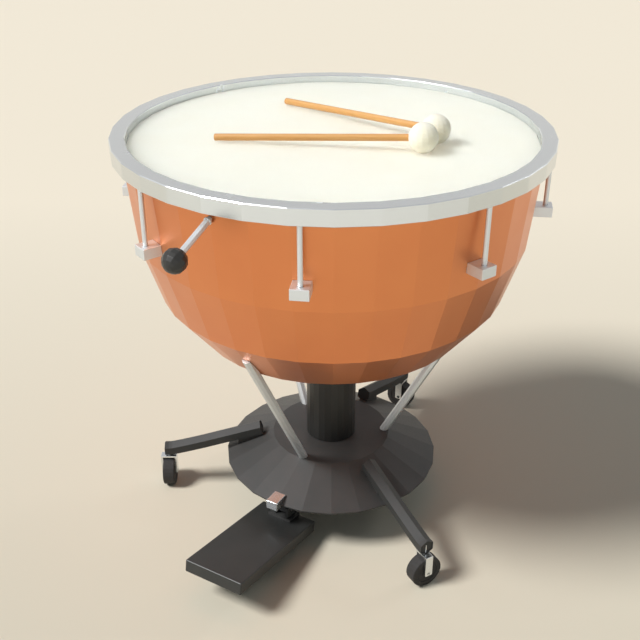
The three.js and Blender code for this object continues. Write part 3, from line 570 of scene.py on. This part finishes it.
def maple_wood(name, centre, heading):
    """Turned maple, oiled. Honey brown with long fine grain along the stick and a soft sheen."""
    fibre_size, pore_depth = 1.4, 0.04  # coarser than real fibres, so that they show
    figure_size = 6
    stretch = (0.04, 1, 1)  # draws the grain out along the stick
    material, tree, place = new_finish(name)
    moved = node(tree, "VectorMath", {0: place, 1: -centre}, operation="ADD")
    turned = node(tree, "VectorRotate", {"Vector": moved, "Angle": -heading}, rotation_type="Z_AXIS")
    drawn = node(tree, "VectorMath", {0: turned, 1: stretch}, operation="MULTIPLY")
    fibres = node(tree, "TexNoise", {"Vector": drawn, "Scale": 1 / (fibre_size * MM), "Detail": 4})
    figure = node(tree, "TexNoise", {"Vector": drawn, "Scale": 1 / (figure_size * MM), "Detail": 2})
    band = node(tree, "MapRange", {"Value": figure, **NOISE_MIDDLE})
    wood = node(tree, "Mix", {"Factor": band, FIRST: "#D99F5A", SECOND: "#E2AE6A"}, data_type="RGBA")
    streak = node(tree, "MapRange", {"Value": fibres, **NOISE_MIDDLE, "To Min": 0, "To Max": 0.35})
    colour = node(tree, "Mix", {"Factor": streak, FIRST: wood, SECOND: "#C38744"}, data_type="RGBA")
    roughness = node(tree, "MapRange", {"Value": fibres, **NOISE_MIDDLE, "To Min": 0.42, "To Max": 0.58})
    shader = node(tree, "BsdfPrincipled", {
        "Coat Weight": 0.15, "Coat Roughness": 0.3,
        "Base Color": colour,
        "Roughness": roughness,
        "Normal": node(tree, "Bump", {"Height": fibres, "Distance": pore_depth * MM, "Strength": 1}),
    })
    node(tree, "OutputMaterial", {"Surface": shader})
    return material


def wool_felt():
    """Pressed wool felt. Cream and quite dull, with a short matted nap and a glow through its shaded side."""
    nap_size, nap_depth = 1.6, 0.35  # coarser than a real nap, so that it shows
    glow_size = 25
    material, tree, place = new_finish("pressed_wool_felt")
    nap = node(
        tree, "TexNoise", {"Vector": place, "Scale": 1 / (nap_size * MM), "Detail": 6, "Roughness": 0.7}
    )
    tone = node(tree, "MapRange", {"Value": nap, **NOISE_MIDDLE})
    colour = node(tree, "Mix", {"Factor": tone, FIRST: "#FEEFDA", SECOND: "#FFF3E0"}, data_type="RGBA")
    shader = node(tree, "BsdfPrincipled", {
        "Base Color": colour,
        "Roughness": 0.95, "Sheen Weight": 0.25, "Sheen Roughness": 0.5,
        "Subsurface Weight": 0.8, "Subsurface Radius": (1, 0.95, 0.85), "Subsurface Scale": glow_size * MM,
        "Normal": node(tree, "Bump", {"Height": nap, "Distance": nap_depth * MM, "Strength": 1}),
    })
    node(tree, "OutputMaterial", {"Surface": shader})
    return material


COPPER = spun_copper()
# the hoop, the forks and the clamp are plated over buffed steel: the rods, lugs and struts over drawn bar
CHROME = chrome_plate("polished_chrome_plate", smooth=0.23, rough=0.28)
SATIN_CHROME = chrome_plate("satin_chrome_plate", smooth=0.5, rough=0.56)
FILM = drum_film()
ALUMINIUM = machined_aluminium()
# cast iron, shot blasted and sprayed satin black: the sand's grain still shows through the paint, and it is
# drawn coarser than real sand, so that it shows
CAST_BLACK = black_finish(
    "black_painted_cast_iron", "#3A3B3A", "#403F3E", lump_size=2.2, depth=0.1,
    smooth=0.42, rough=0.56, gloss=0.4,
)
# steel tube with baked powder coat: a fine orange peel
TUBE_BLACK = black_finish(
    "black_powder_coat", "#353635", "#3A3A39", lump_size=1.6, depth=0.03, smooth=0.5, rough=0.6, gloss=0.3
)
# column: the same coat over a drawn tube, a little smoother
COLUMN_BLACK = black_finish(
    "black_column_coat", "#262625", "#2A2A28", lump_size=1.2, depth=0.02, smooth=0.34, rough=0.42
)
# pedal: cast aluminium under matte enamel
PEDAL_BLACK = black_finish(
    "matte_black_enamel", "#2A2B2A", "#2F302F", lump_size=1.4, depth=0.06, smooth=0.4, rough=0.48
)
# moulded rubber tyre, scuffed
RUBBER = black_finish(
    "moulded_rubber", "#2B2A29", "#343231", lump_size=3, depth=0.08, smooth=0.7, rough=0.85
)
# turned phenolic ball, polished
BALL_BLACK = black_finish(
    "polished_phenolic", "#2A2928", "#2F2E2C", lump_size=6, depth=0.01, smooth=0.3, rough=0.36
)
# pins and springs drawn bright, with only a soft unevenness
STEEL = bare_metal(
    "bright_drawn_steel", "#8E9093", "#A2A4A7", grain_size=4, smooth=0.3, rough=0.45, depth=0.02
)
# castings as they came from the sand, with a grain coarser than real sand, so that it shows
IRON = bare_metal(
    "bare_cast_iron", "#4A4A4C", "#585859", grain_size=2.5, smooth=0.6, rough=0.75, depth=0.12, metallic=0.8
)
FELT = wool_felt()

# The pieces that stay as they come from the CAD take these finishes, by the slots that they have there
SLOT_FINISHES = {
    "copper": COPPER, "chrome": CHROME, "head_film": FILM, "cast_aluminium": ALUMINIUM,
    "black_paint": CAST_BLACK, "black_enamel": PEDAL_BLACK, "wheel_rubber": RUBBER,
    "black_plastic": BALL_BLACK, "steel": STEEL, "bare_iron": IRON, "felt": FELT,
}
for cad_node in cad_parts.values():
    for material_slot in cad_node.material_slots:
        slot_name = material_slot.material.name.split(".")[0]
        if slot_name in SLOT_FINISHES:
            material_slot.material = SLOT_FINISHES[slot_name]


def declare(piece, body, slot, material, *replaced):
    """Gives a finished piece its finish, its body and the CAD nodes that it stands for."""
    take(piece)
    piece.data.materials.clear()
    piece.data.materials.append(material)
    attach(piece, body)
    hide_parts(*replaced)


# Kettle, head and counter hoop

TUNER_WALL = at(0, MOUTH_REACH, TUNER_HEIGHT)
KNOB_MIDDLE = at(0, MOUTH_REACH + TUNER_LENGTH, TUNER_HEIGHT - TUNER_FALL)
TUNER_ALONG = (KNOB_MIDDLE - TUNER_WALL).normalized()
TUNER_ROTATION = (QUARTER + TUNER_SLOPE, 0, 0)


def on_tuner(distance):
    """The point on the tuning handle's line at a distance out from the kettle's side."""
    return TUNER_WALL + TUNER_ALONG * distance * MM


def make_kettle():
    kettle = spun("kettle", [*KETTLE_LINE, (MAIN_HOLE, KETTLE_FOOT)], RIM_SIDES)
    apply(kettle, "SOLIDIFY", thickness=KETTLE_WALL * MM, offset=-1)
    for angle in ROD_ANGLES:
        cut_away(kettle, block("slot", SLOT_SIZE, at(angle, SLOT_REACH, LUG_MIDDLE), angle))
    hole_radius = PIVOT_RADIUS + RUNNING_GAP
    hole = shaft("hole", hole_radius, on_tuner(-PIVOT_DEPTH), on_tuner(PIVOT_DEPTH), TUNER_ROTATION)
    cut_away(kettle, hole)
    declare(kettle, "root", "copper", COPPER, "kettle_bowl")


def make_head():
    crown = HOOP_OPENING - EDGE_INSET
    reach, height = crown + SEAT_GAP, HEAD_TOP
    head = begin(
        "head_film", bpy.ops.mesh.primitive_circle_add, vertices=RIM_SIDES, radius=reach * MM,
        fill_type="NGON", location=at(0, 0, height),
    )
    choose("EDGE", lambda middle, direction: True)
    for out_share, down_share in COLLAR_SHARES:
        next_reach = crown + out_share * (COLLAR_REACH - crown)
        next_height = HEAD_TOP - down_share * COLLAR_DROP
        drop = (0, 0, (next_height - height) * MM)
        bpy.ops.mesh.extrude_edges_move(TRANSFORM_OT_translate={"value": drop})
        widen_chosen(next_reach / reach)
        reach, height = next_reach, next_height
    outwards_again()
    apply(head, "SOLIDIFY", thickness=FILM_THICKNESS * MM, offset=-1)
    declare(head, "root", "head_film", FILM, "drum_head")


def make_hoop():
    wall = HOOP_REACH - HOOP_WALL
    corners = [
        (HOOP_REACH, HOOP_FOOT), (HOOP_REACH, HOOP_TOP), (HOOP_OPENING, HOOP_TOP),
        (HOOP_OPENING, HOOP_FLANGE_FOOT), (wall, HOOP_FLANGE_FOOT), (wall, HOOP_FOOT),
    ]
    hoop = spun("hoop", corners + corners[:1], RIM_SIDES)
    bevel_rings([corners[1], corners[2]], HOOP_TOP_EDGE, 1)
    bevel_rings([corners[0], corners[3]], HOOP_FOOT_EDGE)
    for angle in ROD_ANGLES:
        socket_top = HOOP_FOOT + ROD_SOCKET_DEPTH
        socket = post("socket", ROD_RADIUS + RUNNING_GAP, HOOP_FOOT - OVERRUN, socket_top, ROD_REACH, angle)
        cut_away(hoop, socket)
    declare(hoop, "tension_frame", "chrome", CHROME, "counter_hoop")


# Tension rods and lugs

def make_rods():
    rod = post("rod", ROD_RADIUS, rod_low.z, rod_high.z, ROD_REACH)
    bevel_ends(ROD_EDGE)
    for i, one in enumerate(copies(rod, "rod", ROD_ANGLES), 1):
        declare(one, f"rod_{i}", "chrome", SATIN_CHROME, f"tension_rod_{i}")


def kettle_side(angle):
    """The kettle's facet behind a lug, as a point a hair outside it and its outward direction."""
    side = 360 / RIM_SIDES
    facet = side * (math.floor(angle / side) + 0.5)
    (r1, z1), (r2, z2) = KETTLE_LINE[:2]
    out = at(facet, z1 - z2, r2 - r1) - AXIS
    return at(facet, (r1 + LUG_GAP) * math.cos(math.pi / RIM_SIDES), z1), out.normalized()


def make_lugs():
    size = (LUG_WIDTH, LUG_REACH - LUG_START, LUG_TOP - LUG_FOOT)
    lug = block("lug", size, at(0, (LUG_START + LUG_REACH) / 2, LUG_MIDDLE))
    end = at(0, LUG_REACH, LUG_MIDDLE).y
    choose("EDGE", lambda middle, direction: abs(middle.y - end) < NEAR * MM or abs(direction.y) > ALONG)
    bevel_chosen(LUG_EDGE)
    for i, (one, angle) in enumerate(zip(copies(lug, "lug_box", ROD_ANGLES), ROD_ANGLES), 1):
        point, outwards = kettle_side(angle)
        take(one)
        bpy.ops.object.mode_set(mode="EDIT")
        cut_off(point, outwards, clear_inner=True, use_fill=True)
        choose("FACE", lambda middle, normal: normal.dot(outwards) < -FACING)
        inset_chosen(LUG_WALL)
        extrude_chosen(at(angle, LUG_HOLLOW, 0) - AXIS)
        bore = post("bore", ROD_RADIUS + RUNNING_GAP, LUG_TOP - OVERRUN, LUG_TOP + OVERRUN, ROD_REACH, angle)
        cut_away(one, bore)
        declare(one, "root", "chrome", SATIN_CHROME, f"lug_{i}")


# Column, struts and legs

def make_column():
    inside = COLUMN_RADIUS - COLUMN_WALL
    plate_foot = COLUMN_TOP - COLUMN_PLATE
    corners = [
        (COLUMN_RADIUS, COLUMN_FOOT), (COLUMN_RADIUS, COLUMN_TOP), (MAIN_HOLE, COLUMN_TOP),
        (MAIN_HOLE, plate_foot), (inside, plate_foot), (inside, COLUMN_FOOT),
    ]
    column = spun("column_tube", corners + corners[:1], STAND_SIDES)
    bevel_rings(corners[:2], COLUMN_EDGE)
    declare(column, "root", "black_paint", COLUMN_BLACK, "column")


def make_struts():
    """One strut, too long at first, then cut to the kettle's side and to the base's flat top."""
    (r1, z1), (r2, z2) = KETTLE_LINE[2:4]
    outwards = (at(0, z1 - z2, r2 - r1) - AXIS).normalized()
    foot, top = BASE_TOP_REACH - STRUT_INSET, KETTLE_FOOT + STRUT_RISE
    reach = r1 + (top - z1) / (z2 - z1) * (r2 - r1)
    tail = STRUT_TAIL * (reach - foot) / (top - BASE_TOP)
    low, high = at(0, foot - tail, BASE_TOP - STRUT_TAIL), at(0, reach + tail, top + STRUT_TAIL)
    along = high - low
    upright = Vector((0, 0, along.length / 2))
    middle = (low + high) / 2
    strut = shaft(
        "strut", STRUT_RADIUS, middle - upright, middle + upright, (0, 0, math.pi / BAR_SIDES), BAR_SIDES
    )
    bpy.ops.mesh.select_all(action="SELECT")
    tilt = math.atan2(along.z, -along.y)
    bpy.ops.transform.rotate(value=tilt - QUARTER, orient_axis="X", center_override=middle)
    cut_off(at(0, r2 + SEAT_GAP, z2), outwards, clear_inner=True, use_fill=True)
    cut_off(at(0, 0, BASE_TOP + SEAT_GAP), (0, 0, 1), clear_inner=True, use_fill=True)
    for i, one in enumerate(copies(strut, "strut_rod", STRUT_ANGLES), 1):
        declare(one, "root", "chrome", SATIN_CHROME, f"strut_{i}")


def curve_through(knots, steps=50):
    """A smooth line through points, each of its bends led by the nearer neighbour."""
    def run(before, here, after):
        first, second = math.sqrt((here - before).length), math.sqrt((after - here).length)
        return (here - before) / first - (after - before) / (first + second) + (after - here) / second

    ends = [2 * knots[0] - knots[1], *knots, 2 * knots[-1] - knots[-2]]
    line = []
    for before, start, end, after in zip(ends, ends[1:], ends[2:], ends[3:]):
        third = math.sqrt((end - start).length) / 3
        lead, trail = run(before, start, end) * third, run(start, end, after) * third
        line += interpolate_bezier(start, start + lead, end - trail, end, steps)
    return line


def points_along(line, shares):
    """The points at shares of a line's length."""
    lengths = [0]
    for start, end in zip(line, line[1:]):
        lengths.append(lengths[-1] + (end - start).length)
    found = []
    for share in shares:
        far = share * lengths[-1]
        i = max(1, bisect.bisect_left(lengths, far))
        found.append(line[i - 1].lerp(line[i], (far - lengths[i - 1]) / (lengths[i] - lengths[i - 1])))
    return found


def make_legs():
    """A six-sided tube that leaves the cone along its slope and turns level over the caster."""
    def on_slope(reach):
        return at(0, reach, LEG_START_HEIGHT - (reach - LEG_START) * math.tan(math.radians(LEG_SLOPE)))

    line = curve_through([
        on_slope(LEG_START), on_slope((LEG_START + LEG_BEND) / 2), on_slope(LEG_BEND),
        at(0, CASTER_REACH - STEM_RADIUS, LEG_END_HEIGHT), at(0, LEG_END, LEG_END_HEIGHT),
    ])
    rings = points_along(line, LEG_RING_SHARES)
    rings.insert(-1, at(0, *LEG_LAST_BEND))
    tilt = math.atan2((rings[1] - rings[0]).z, (rings[0] - rings[1]).y)
    leg = begin(
        "leg", bpy.ops.mesh.primitive_circle_add, vertices=LEG_SIDES, radius=LEG_RADIUS * MM,
        fill_type="NGON", location=rings[0], rotation=(QUARTER - tilt, 0, 0),
    )
    for start, end, after in zip(rings, rings[1:], rings[2:] + rings[-1:]):
        extrude_chosen(end - start)
        ahead = after - start
        turn = math.atan2(ahead.z, -ahead.y) - tilt
        tilt += turn
        bpy.ops.transform.rotate(value=turn, orient_axis="X", center_override=end)
    outwards_again()
    # each open end is closed by a plug set a little way in
    choose("FACE", lambda middle, normal: abs(normal.y) > ALONG)
    inset_chosen(LEG_PLUG_INSET, -LEG_PLUG_INSET)
    socket = post("socket", STEM_RADIUS + SEAT_GAP, FORK_TOP - OVERRUN, STEM_TOP + SEAT_GAP, CASTER_REACH)
    cut_away(leg, socket)
    for i, one in enumerate(copies(leg, "leg_tube", LEG_ANGLES), 1):
        declare(one, "root", "black_paint", TUBE_BLACK, f"leg_{i}")


# Casters

def axle_bar(name, radius, width, sides=PIN_SIDES, roll=0):
    """A bar of a width along the caster's axle."""
    inner, outer = CASTER_REACH - width / 2, CASTER_REACH + width / 2
    ends = at(0, inner, AXLE_HEIGHT), at(0, outer, AXLE_HEIGHT)
    return shaft(name, radius, *ends, (QUARTER, roll, 0), sides)


def make_forks():
    crown_foot = FORK_TOP - FORK_WALL
    fork = block(
        "fork", (FORK_WIDTH, FORK_DEPTH, FORK_WALL), at(0, CASTER_REACH, FORK_TOP - FORK_WALL / 2)
    )
    half = FORK_DEPTH / 2 - FORK_WALL
    for reach in (CASTER_REACH - half, CASTER_REACH + half):
        cut_off(at(0, reach, 0), (0, 1, 0))
    inner, outer = at(0, CASTER_REACH - half + NEAR, 0).y, at(0, CASTER_REACH + half - NEAR, 0).y
    choose("FACE", lambda middle, normal: normal.z < -ALONG and not outer < middle.y < inner)
    extrude_chosen((0, 0, (FORK_FOOT - crown_foot) * MM))
    outwards_again()
    # rounded feet and eased upper edges
    choose("EDGE", lambda middle, direction: middle.z / MM < FORK_FOOT + NEAR and abs(direction.y) > ALONG)
    bevel_chosen(FORK_FOOT_EDGE, 3)
    choose("EDGE", lambda middle, direction: middle.z / MM > FORK_TOP - NEAR)
    bevel_chosen(FORK_TOP_EDGE)
    axle = axle_bar("axle", AXLE_RADIUS, FORK_DEPTH)
    bevel_ends(AXLE_EDGE, Vector((0, 1, 0)))
    stem = post("stem", STEM_RADIUS, FORK_TOP - STEM_ROOT, STEM_TOP, CASTER_REACH)
    bevel_ends(STEM_EDGE)
    fork = join_pieces(fork, axle, stem)
    for i, one in enumerate(copies(fork, "fork", LEG_ANGLES), 1):
        declare(one, f"fork_{i}", "chrome", CHROME, f"caster_fork_{i}")


def make_wheels():
    wheel = axle_bar("wheel", WHEEL_RADIUS, WHEEL_WIDTH, STAND_SIDES, math.pi / STAND_SIDES)
    bevel_ends(WHEEL_EDGE, Vector((0, 1, 0)))
    # on both sides: the tyre's wall, a step down to the web, and a step up to the hub
    choose("FACE", lambda middle, normal: abs(normal.y) > FACING)
    inset_chosen(TYRE_WALL)
    inset_chosen(TYRE_STEP[0], -TYRE_STEP[1])
    inset_chosen(WEB_WIDTH)
    inset_chosen(*HUB_STEP)
    cut_away(wheel, axle_bar("bore", AXLE_RADIUS + RUNNING_GAP, WHEEL_WIDTH + OVERRUN, STAND_SIDES))
    for i, one in enumerate(copies(wheel, "wheel", LEG_ANGLES), 1):
        declare(one, f"wheel_{i}", "wheel_rubber", RUBBER, f"caster_wheel_{i}")


# Pedal and clamp block

def make_pedal():
    pedal = block("pedal", PEDAL_SIZE, -Vector((0, PEDAL_SIZE.y, PEDAL_SIZE.z)) / 2 * MM)
    choose("EDGE", lambda middle, direction: True)
    bevel_chosen(PEDAL_EDGE, 3)
    tilt = Matrix.Rotation(math.radians(-PEDAL_SLOPE), 4, "X")
    settle(pedal, Matrix.Translation(at(0, PEDAL_INNER_REACH, PEDAL_INNER_HEIGHT)) @ tilt)
    declare(pedal, "pedal", "black_enamel", PEDAL_BLACK, "pedal_plate")


def base_form(name):
    """The cast base's outside as a full body, a seat's gap larger, for cutting."""
    reach, lip_height = BASE_TOP_REACH + SEAT_GAP, BASE_FOOT + BASE_LIP
    form = begin(
        name, bpy.ops.mesh.primitive_circle_add, vertices=STAND_SIDES, radius=reach * MM,
        fill_type="NGON", location=at(0, 0, BASE_TOP + SEAT_GAP),
    )
    bpy.ops.mesh.select_all(action="SELECT")
    extrude_chosen((0, 0, (lip_height - BASE_TOP) * MM))
    widen_chosen((BASE_REACH + SEAT_GAP) / reach)
    extrude_chosen((0, 0, -(BASE_LIP + OVERRUN) * MM))
    outwards_again()
    return form


def make_block():
    clamp = block("block", block_high - block_low, (block_low + block_high) / 2 * MM + AXIS)
    choose("EDGE", lambda middle, direction: True)
    bevel_chosen(BLOCK_EDGE, 3)
    cut_away(clamp, base_form("cutter"))
    bore_top = block_high.z - STUD_COVER + SEAT_GAP
    bore = post("bore", STUD_RADIUS + RUNNING_GAP, block_low.z - OVERRUN, bore_top, STUD_REACH)
    cut_away(clamp, bore)
    declare(clamp, "root", "chrome", CHROME, "clamp_block")


# Tuning handle

def make_tuner():
    handle = shaft("handle", TUNER_RADIUS, on_tuner(SHOULDER), KNOB_MIDDLE, TUNER_ROTATION, BAR_SIDES)
    bevel_ends(TUNER_EDGE, TUNER_ALONG)
    collar = shaft("collar", COLLAR_RADIUS, on_tuner(COLLAR_START), on_tuner(COLLAR_END), TUNER_ROTATION)
    bevel_ends(COLLAR_EDGE, TUNER_ALONG)
    pivot_ends = on_tuner(-PIVOT_DEPTH), on_tuner(SHOULDER)
    pivot = shaft("pivot", PIVOT_RADIUS, *pivot_ends, TUNER_ROTATION, BAR_SIDES)
    bevel_ends(TUNER_EDGE, TUNER_ALONG)
    handle = join_pieces(handle, collar, pivot)
    declare(handle, "tuner", "chrome", SATIN_CHROME, "tuner_handle")

    knob = begin(
        "knob", bpy.ops.mesh.primitive_uv_sphere_add, segments=KNOB_SIDES, ring_count=KNOB_RINGS,
        radius=KNOB_RADIUS * MM, location=KNOB_MIDDLE, rotation=TUNER_ROTATION,
    )
    choose("EDGE", lambda middle, direction: True)
    bevel_chosen(KNOB_EDGE)
    declare(knob, "tuner", "black_plastic", BALL_BLACK, "tuner_knob")


# Mallets

def make_mallet(number, heading):
    """A stick and a felt ball, made at the origin along X and then laid on the head."""
    low, high = measured(f"mallet_head_{number}")
    centre = (low + high) / 2 * MM + AXIS
    turn = math.radians(heading)
    place = (
        Matrix.Translation(centre) @ Matrix.Rotation(turn, 4, "Z") @ Matrix.Rotation(-STICK_LEAN, 4, "Y")
    )
    butt, tip = Vector((-STICK_LENGTH, 0, 0)) * MM, Vector((STICK_TIP, 0, 0)) * MM
    stick = shaft(f"stick_{number}", STICK_RADIUS, butt, tip, (0, QUARTER, 0))
    choose("EDGE", lambda point, direction: abs(direction.x) < ACROSS)
    bevel_chosen(STICK_EDGE, 3)
    settle(stick, place)
    wood = maple_wood(f"oiled_maple_{number}", centre, turn)
    declare(stick, f"mallet_{number}", "maple", wood, f"mallet_stick_{number}")

    felt = begin(
        f"felt_{number}", bpy.ops.mesh.primitive_uv_sphere_add, segments=FELT_SIDES, ring_count=FELT_RINGS,
        radius=MALLET_RADIUS * MM,
    )
    bpy.ops.mesh.select_all(action="SELECT")
    bpy.ops.mesh.subdivide(number_cuts=FELT_CUTS, smoothness=0)
    settle(felt, place)
    declare(felt, f"mallet_{number}", "felt", FELT, f"mallet_head_{number}")


make_kettle()
make_head()
make_hoop()
make_rods()
make_lugs()
make_column()
make_struts()
make_legs()
make_forks()
make_wheels()
make_pedal()
make_block()
make_tuner()
for mallet_number, mallet_heading in enumerate(MALLET_HEADINGS, 1):
    make_mallet(mallet_number, mallet_heading)


# Floor, light and camera

# The main lamp is high on the left of the player's side, and a weak one stands behind on the right
LAMPS = [
    # name, angle round the drum, angle over the floor, width of the disc, strength
    ("main_lamp", -44, 49, 18, 3.5),
    ("back_lamp", 153, 31, 10, 0.19),
]
FLOOR_SIZE = 60  # metres
FLOOR_TURN = -30.3  # so that a depth runs away from the camera
# the floor's painted shade, dark near the camera, fades out between these depths
PAINTED_SHADE_NEAR, PAINTED_SHADE_FAR = -0.8, 1.7  # depths in metres, between which it grows paler
FLOOR_HIND, FLOOR_CLOSE = -2.2, -0.4  # depths in metres, between which the pale part behind ends
WALL_TOP, CEILING_START = 0.05, 0.4  # how steeply a mirrored view rises, from 0 for level to 1 for upright
FILL_STRENGTH = 0.205
CAMERA_LENS, CAMERA_SENSOR = 52.74, 36
CAMERA_PLACE = (0.8064, -1.3806, 1.2952)  # metres
CAMERA_TURN = (61.395, 0, 30.313)
CAMERA_CLIP = (0.01, 100)  # metres


def make_floor():
    """Paint on a smooth floor, with painted shade: it darkens from far to near, as if the light fell off, and
    is pale again behind the camera, where only the chrome sees it."""
    rest()
    bpy.ops.mesh.primitive_plane_add(size=FLOOR_SIZE, location=(0, 0, 0))
    floor = bpy.context.object
    floor.name = "floor"
    material, tree, place = new_finish("pale_floor_with_painted_shade")
    turned = node(
        tree, "VectorRotate", {"Vector": place, "Angle": math.radians(FLOOR_TURN)}, rotation_type="Z_AXIS"
    )
    depth = node(tree, "SeparateXYZ", {"Vector": turned}).outputs["Y"]
    # painted shade: the floor is darker near the camera and paler far off, standing in for light that falls
    # off
    far = node(tree, "MapRange", {"Value": depth, "From Min": PAINTED_SHADE_NEAR, "From Max": PAINTED_SHADE_FAR})
    seen = node(tree, "Mix", {"Factor": far, FIRST: "#CEC7B4", SECOND: "#EFE4D0"}, data_type="RGBA")
    behind = node(tree, "MapRange", {
        "Value": depth, "From Min": FLOOR_HIND, "From Max": FLOOR_CLOSE, "To Min": 1, "To Max": 0,
    })
    whole = node(tree, "Mix", {"Factor": behind, FIRST: seen, SECOND: "#F4EEE1"}, data_type="RGBA")
    shader = node(tree, "BsdfPrincipled", {"Base Color": whole, "Roughness": 0.6})
    node(tree, "OutputMaterial", {"Surface": shader})
    floor.data.materials.append(material)


def make_world():
    """A pale studio: what the camera sees past the floor, what metal mirrors and what fills the shadows."""
    world = bpy.data.worlds.new("studio")
    bpy.context.scene.world = world
    world.use_nodes = True
    tree = world.node_tree
    tree.nodes.clear()
    ray = node(tree, "LightPath", {}).outputs
    fill = node(tree, "Background", {"Color": "#E4F1FA", "Strength": FILL_STRENGTH})
    # metal mirrors a bright wall low down, and a grey ceiling
    way = node(tree, "TexCoord", {}).outputs["Generated"]
    lift = node(tree, "SeparateXYZ", {"Vector": way}).outputs["Z"]
    rise = node(tree, "MapRange", {"Value": lift, "From Min": WALL_TOP, "From Max": CEILING_START})
    room = node(tree, "Mix", {"Factor": rise, FIRST: "#FFFBF2", SECOND: "#CAC9C9"}, data_type="RGBA")
    mirrored = node(tree, "Background", {"Color": room, "Strength": 1})
    seen = node(tree, "Background", {"Color": "#F2E8D5", "Strength": 1})
    shiny = node(
        tree, "Math", {0: ray["Is Glossy Ray"], 1: ray["Is Transmission Ray"]}, operation="MAXIMUM"
    )
    lit = node(tree, "MixShader", {0: shiny, 1: fill, 2: mirrored})
    whole = node(tree, "MixShader", {0: ray["Is Camera Ray"], 1: lit, 2: seen})
    node(tree, "OutputWorld", {"Surface": whole})


def make_lamps():
    for name, angle, lift, width, strength in LAMPS:
        sun = bpy.data.lights.new(name, "SUN")
        sun.energy = strength
        sun.angle = math.radians(width)
        lamp = bpy.data.objects.new(name, sun)
        bpy.context.collection.objects.link(lamp)
        towards = AXIS - at(angle, 1, math.tan(math.radians(lift)))
        lamp.rotation_euler = towards.to_track_quat("-Z", "Y").to_euler()


def make_camera():
    camera = bpy.data.cameras.new("camera")
    camera.lens = CAMERA_LENS
    camera.sensor_width = CAMERA_SENSOR
    camera.clip_start, camera.clip_end = CAMERA_CLIP
    seen_from = bpy.data.objects.new("camera", camera)
    seen_from.location = CAMERA_PLACE
    seen_from.rotation_euler = [math.radians(turn) for turn in CAMERA_TURN]
    bpy.context.collection.objects.link(seen_from)
    bpy.context.scene.camera = seen_from


make_floor()
make_world()
make_lamps()
make_camera()
bpy.context.scene.view_settings.view_transform = "Standard"
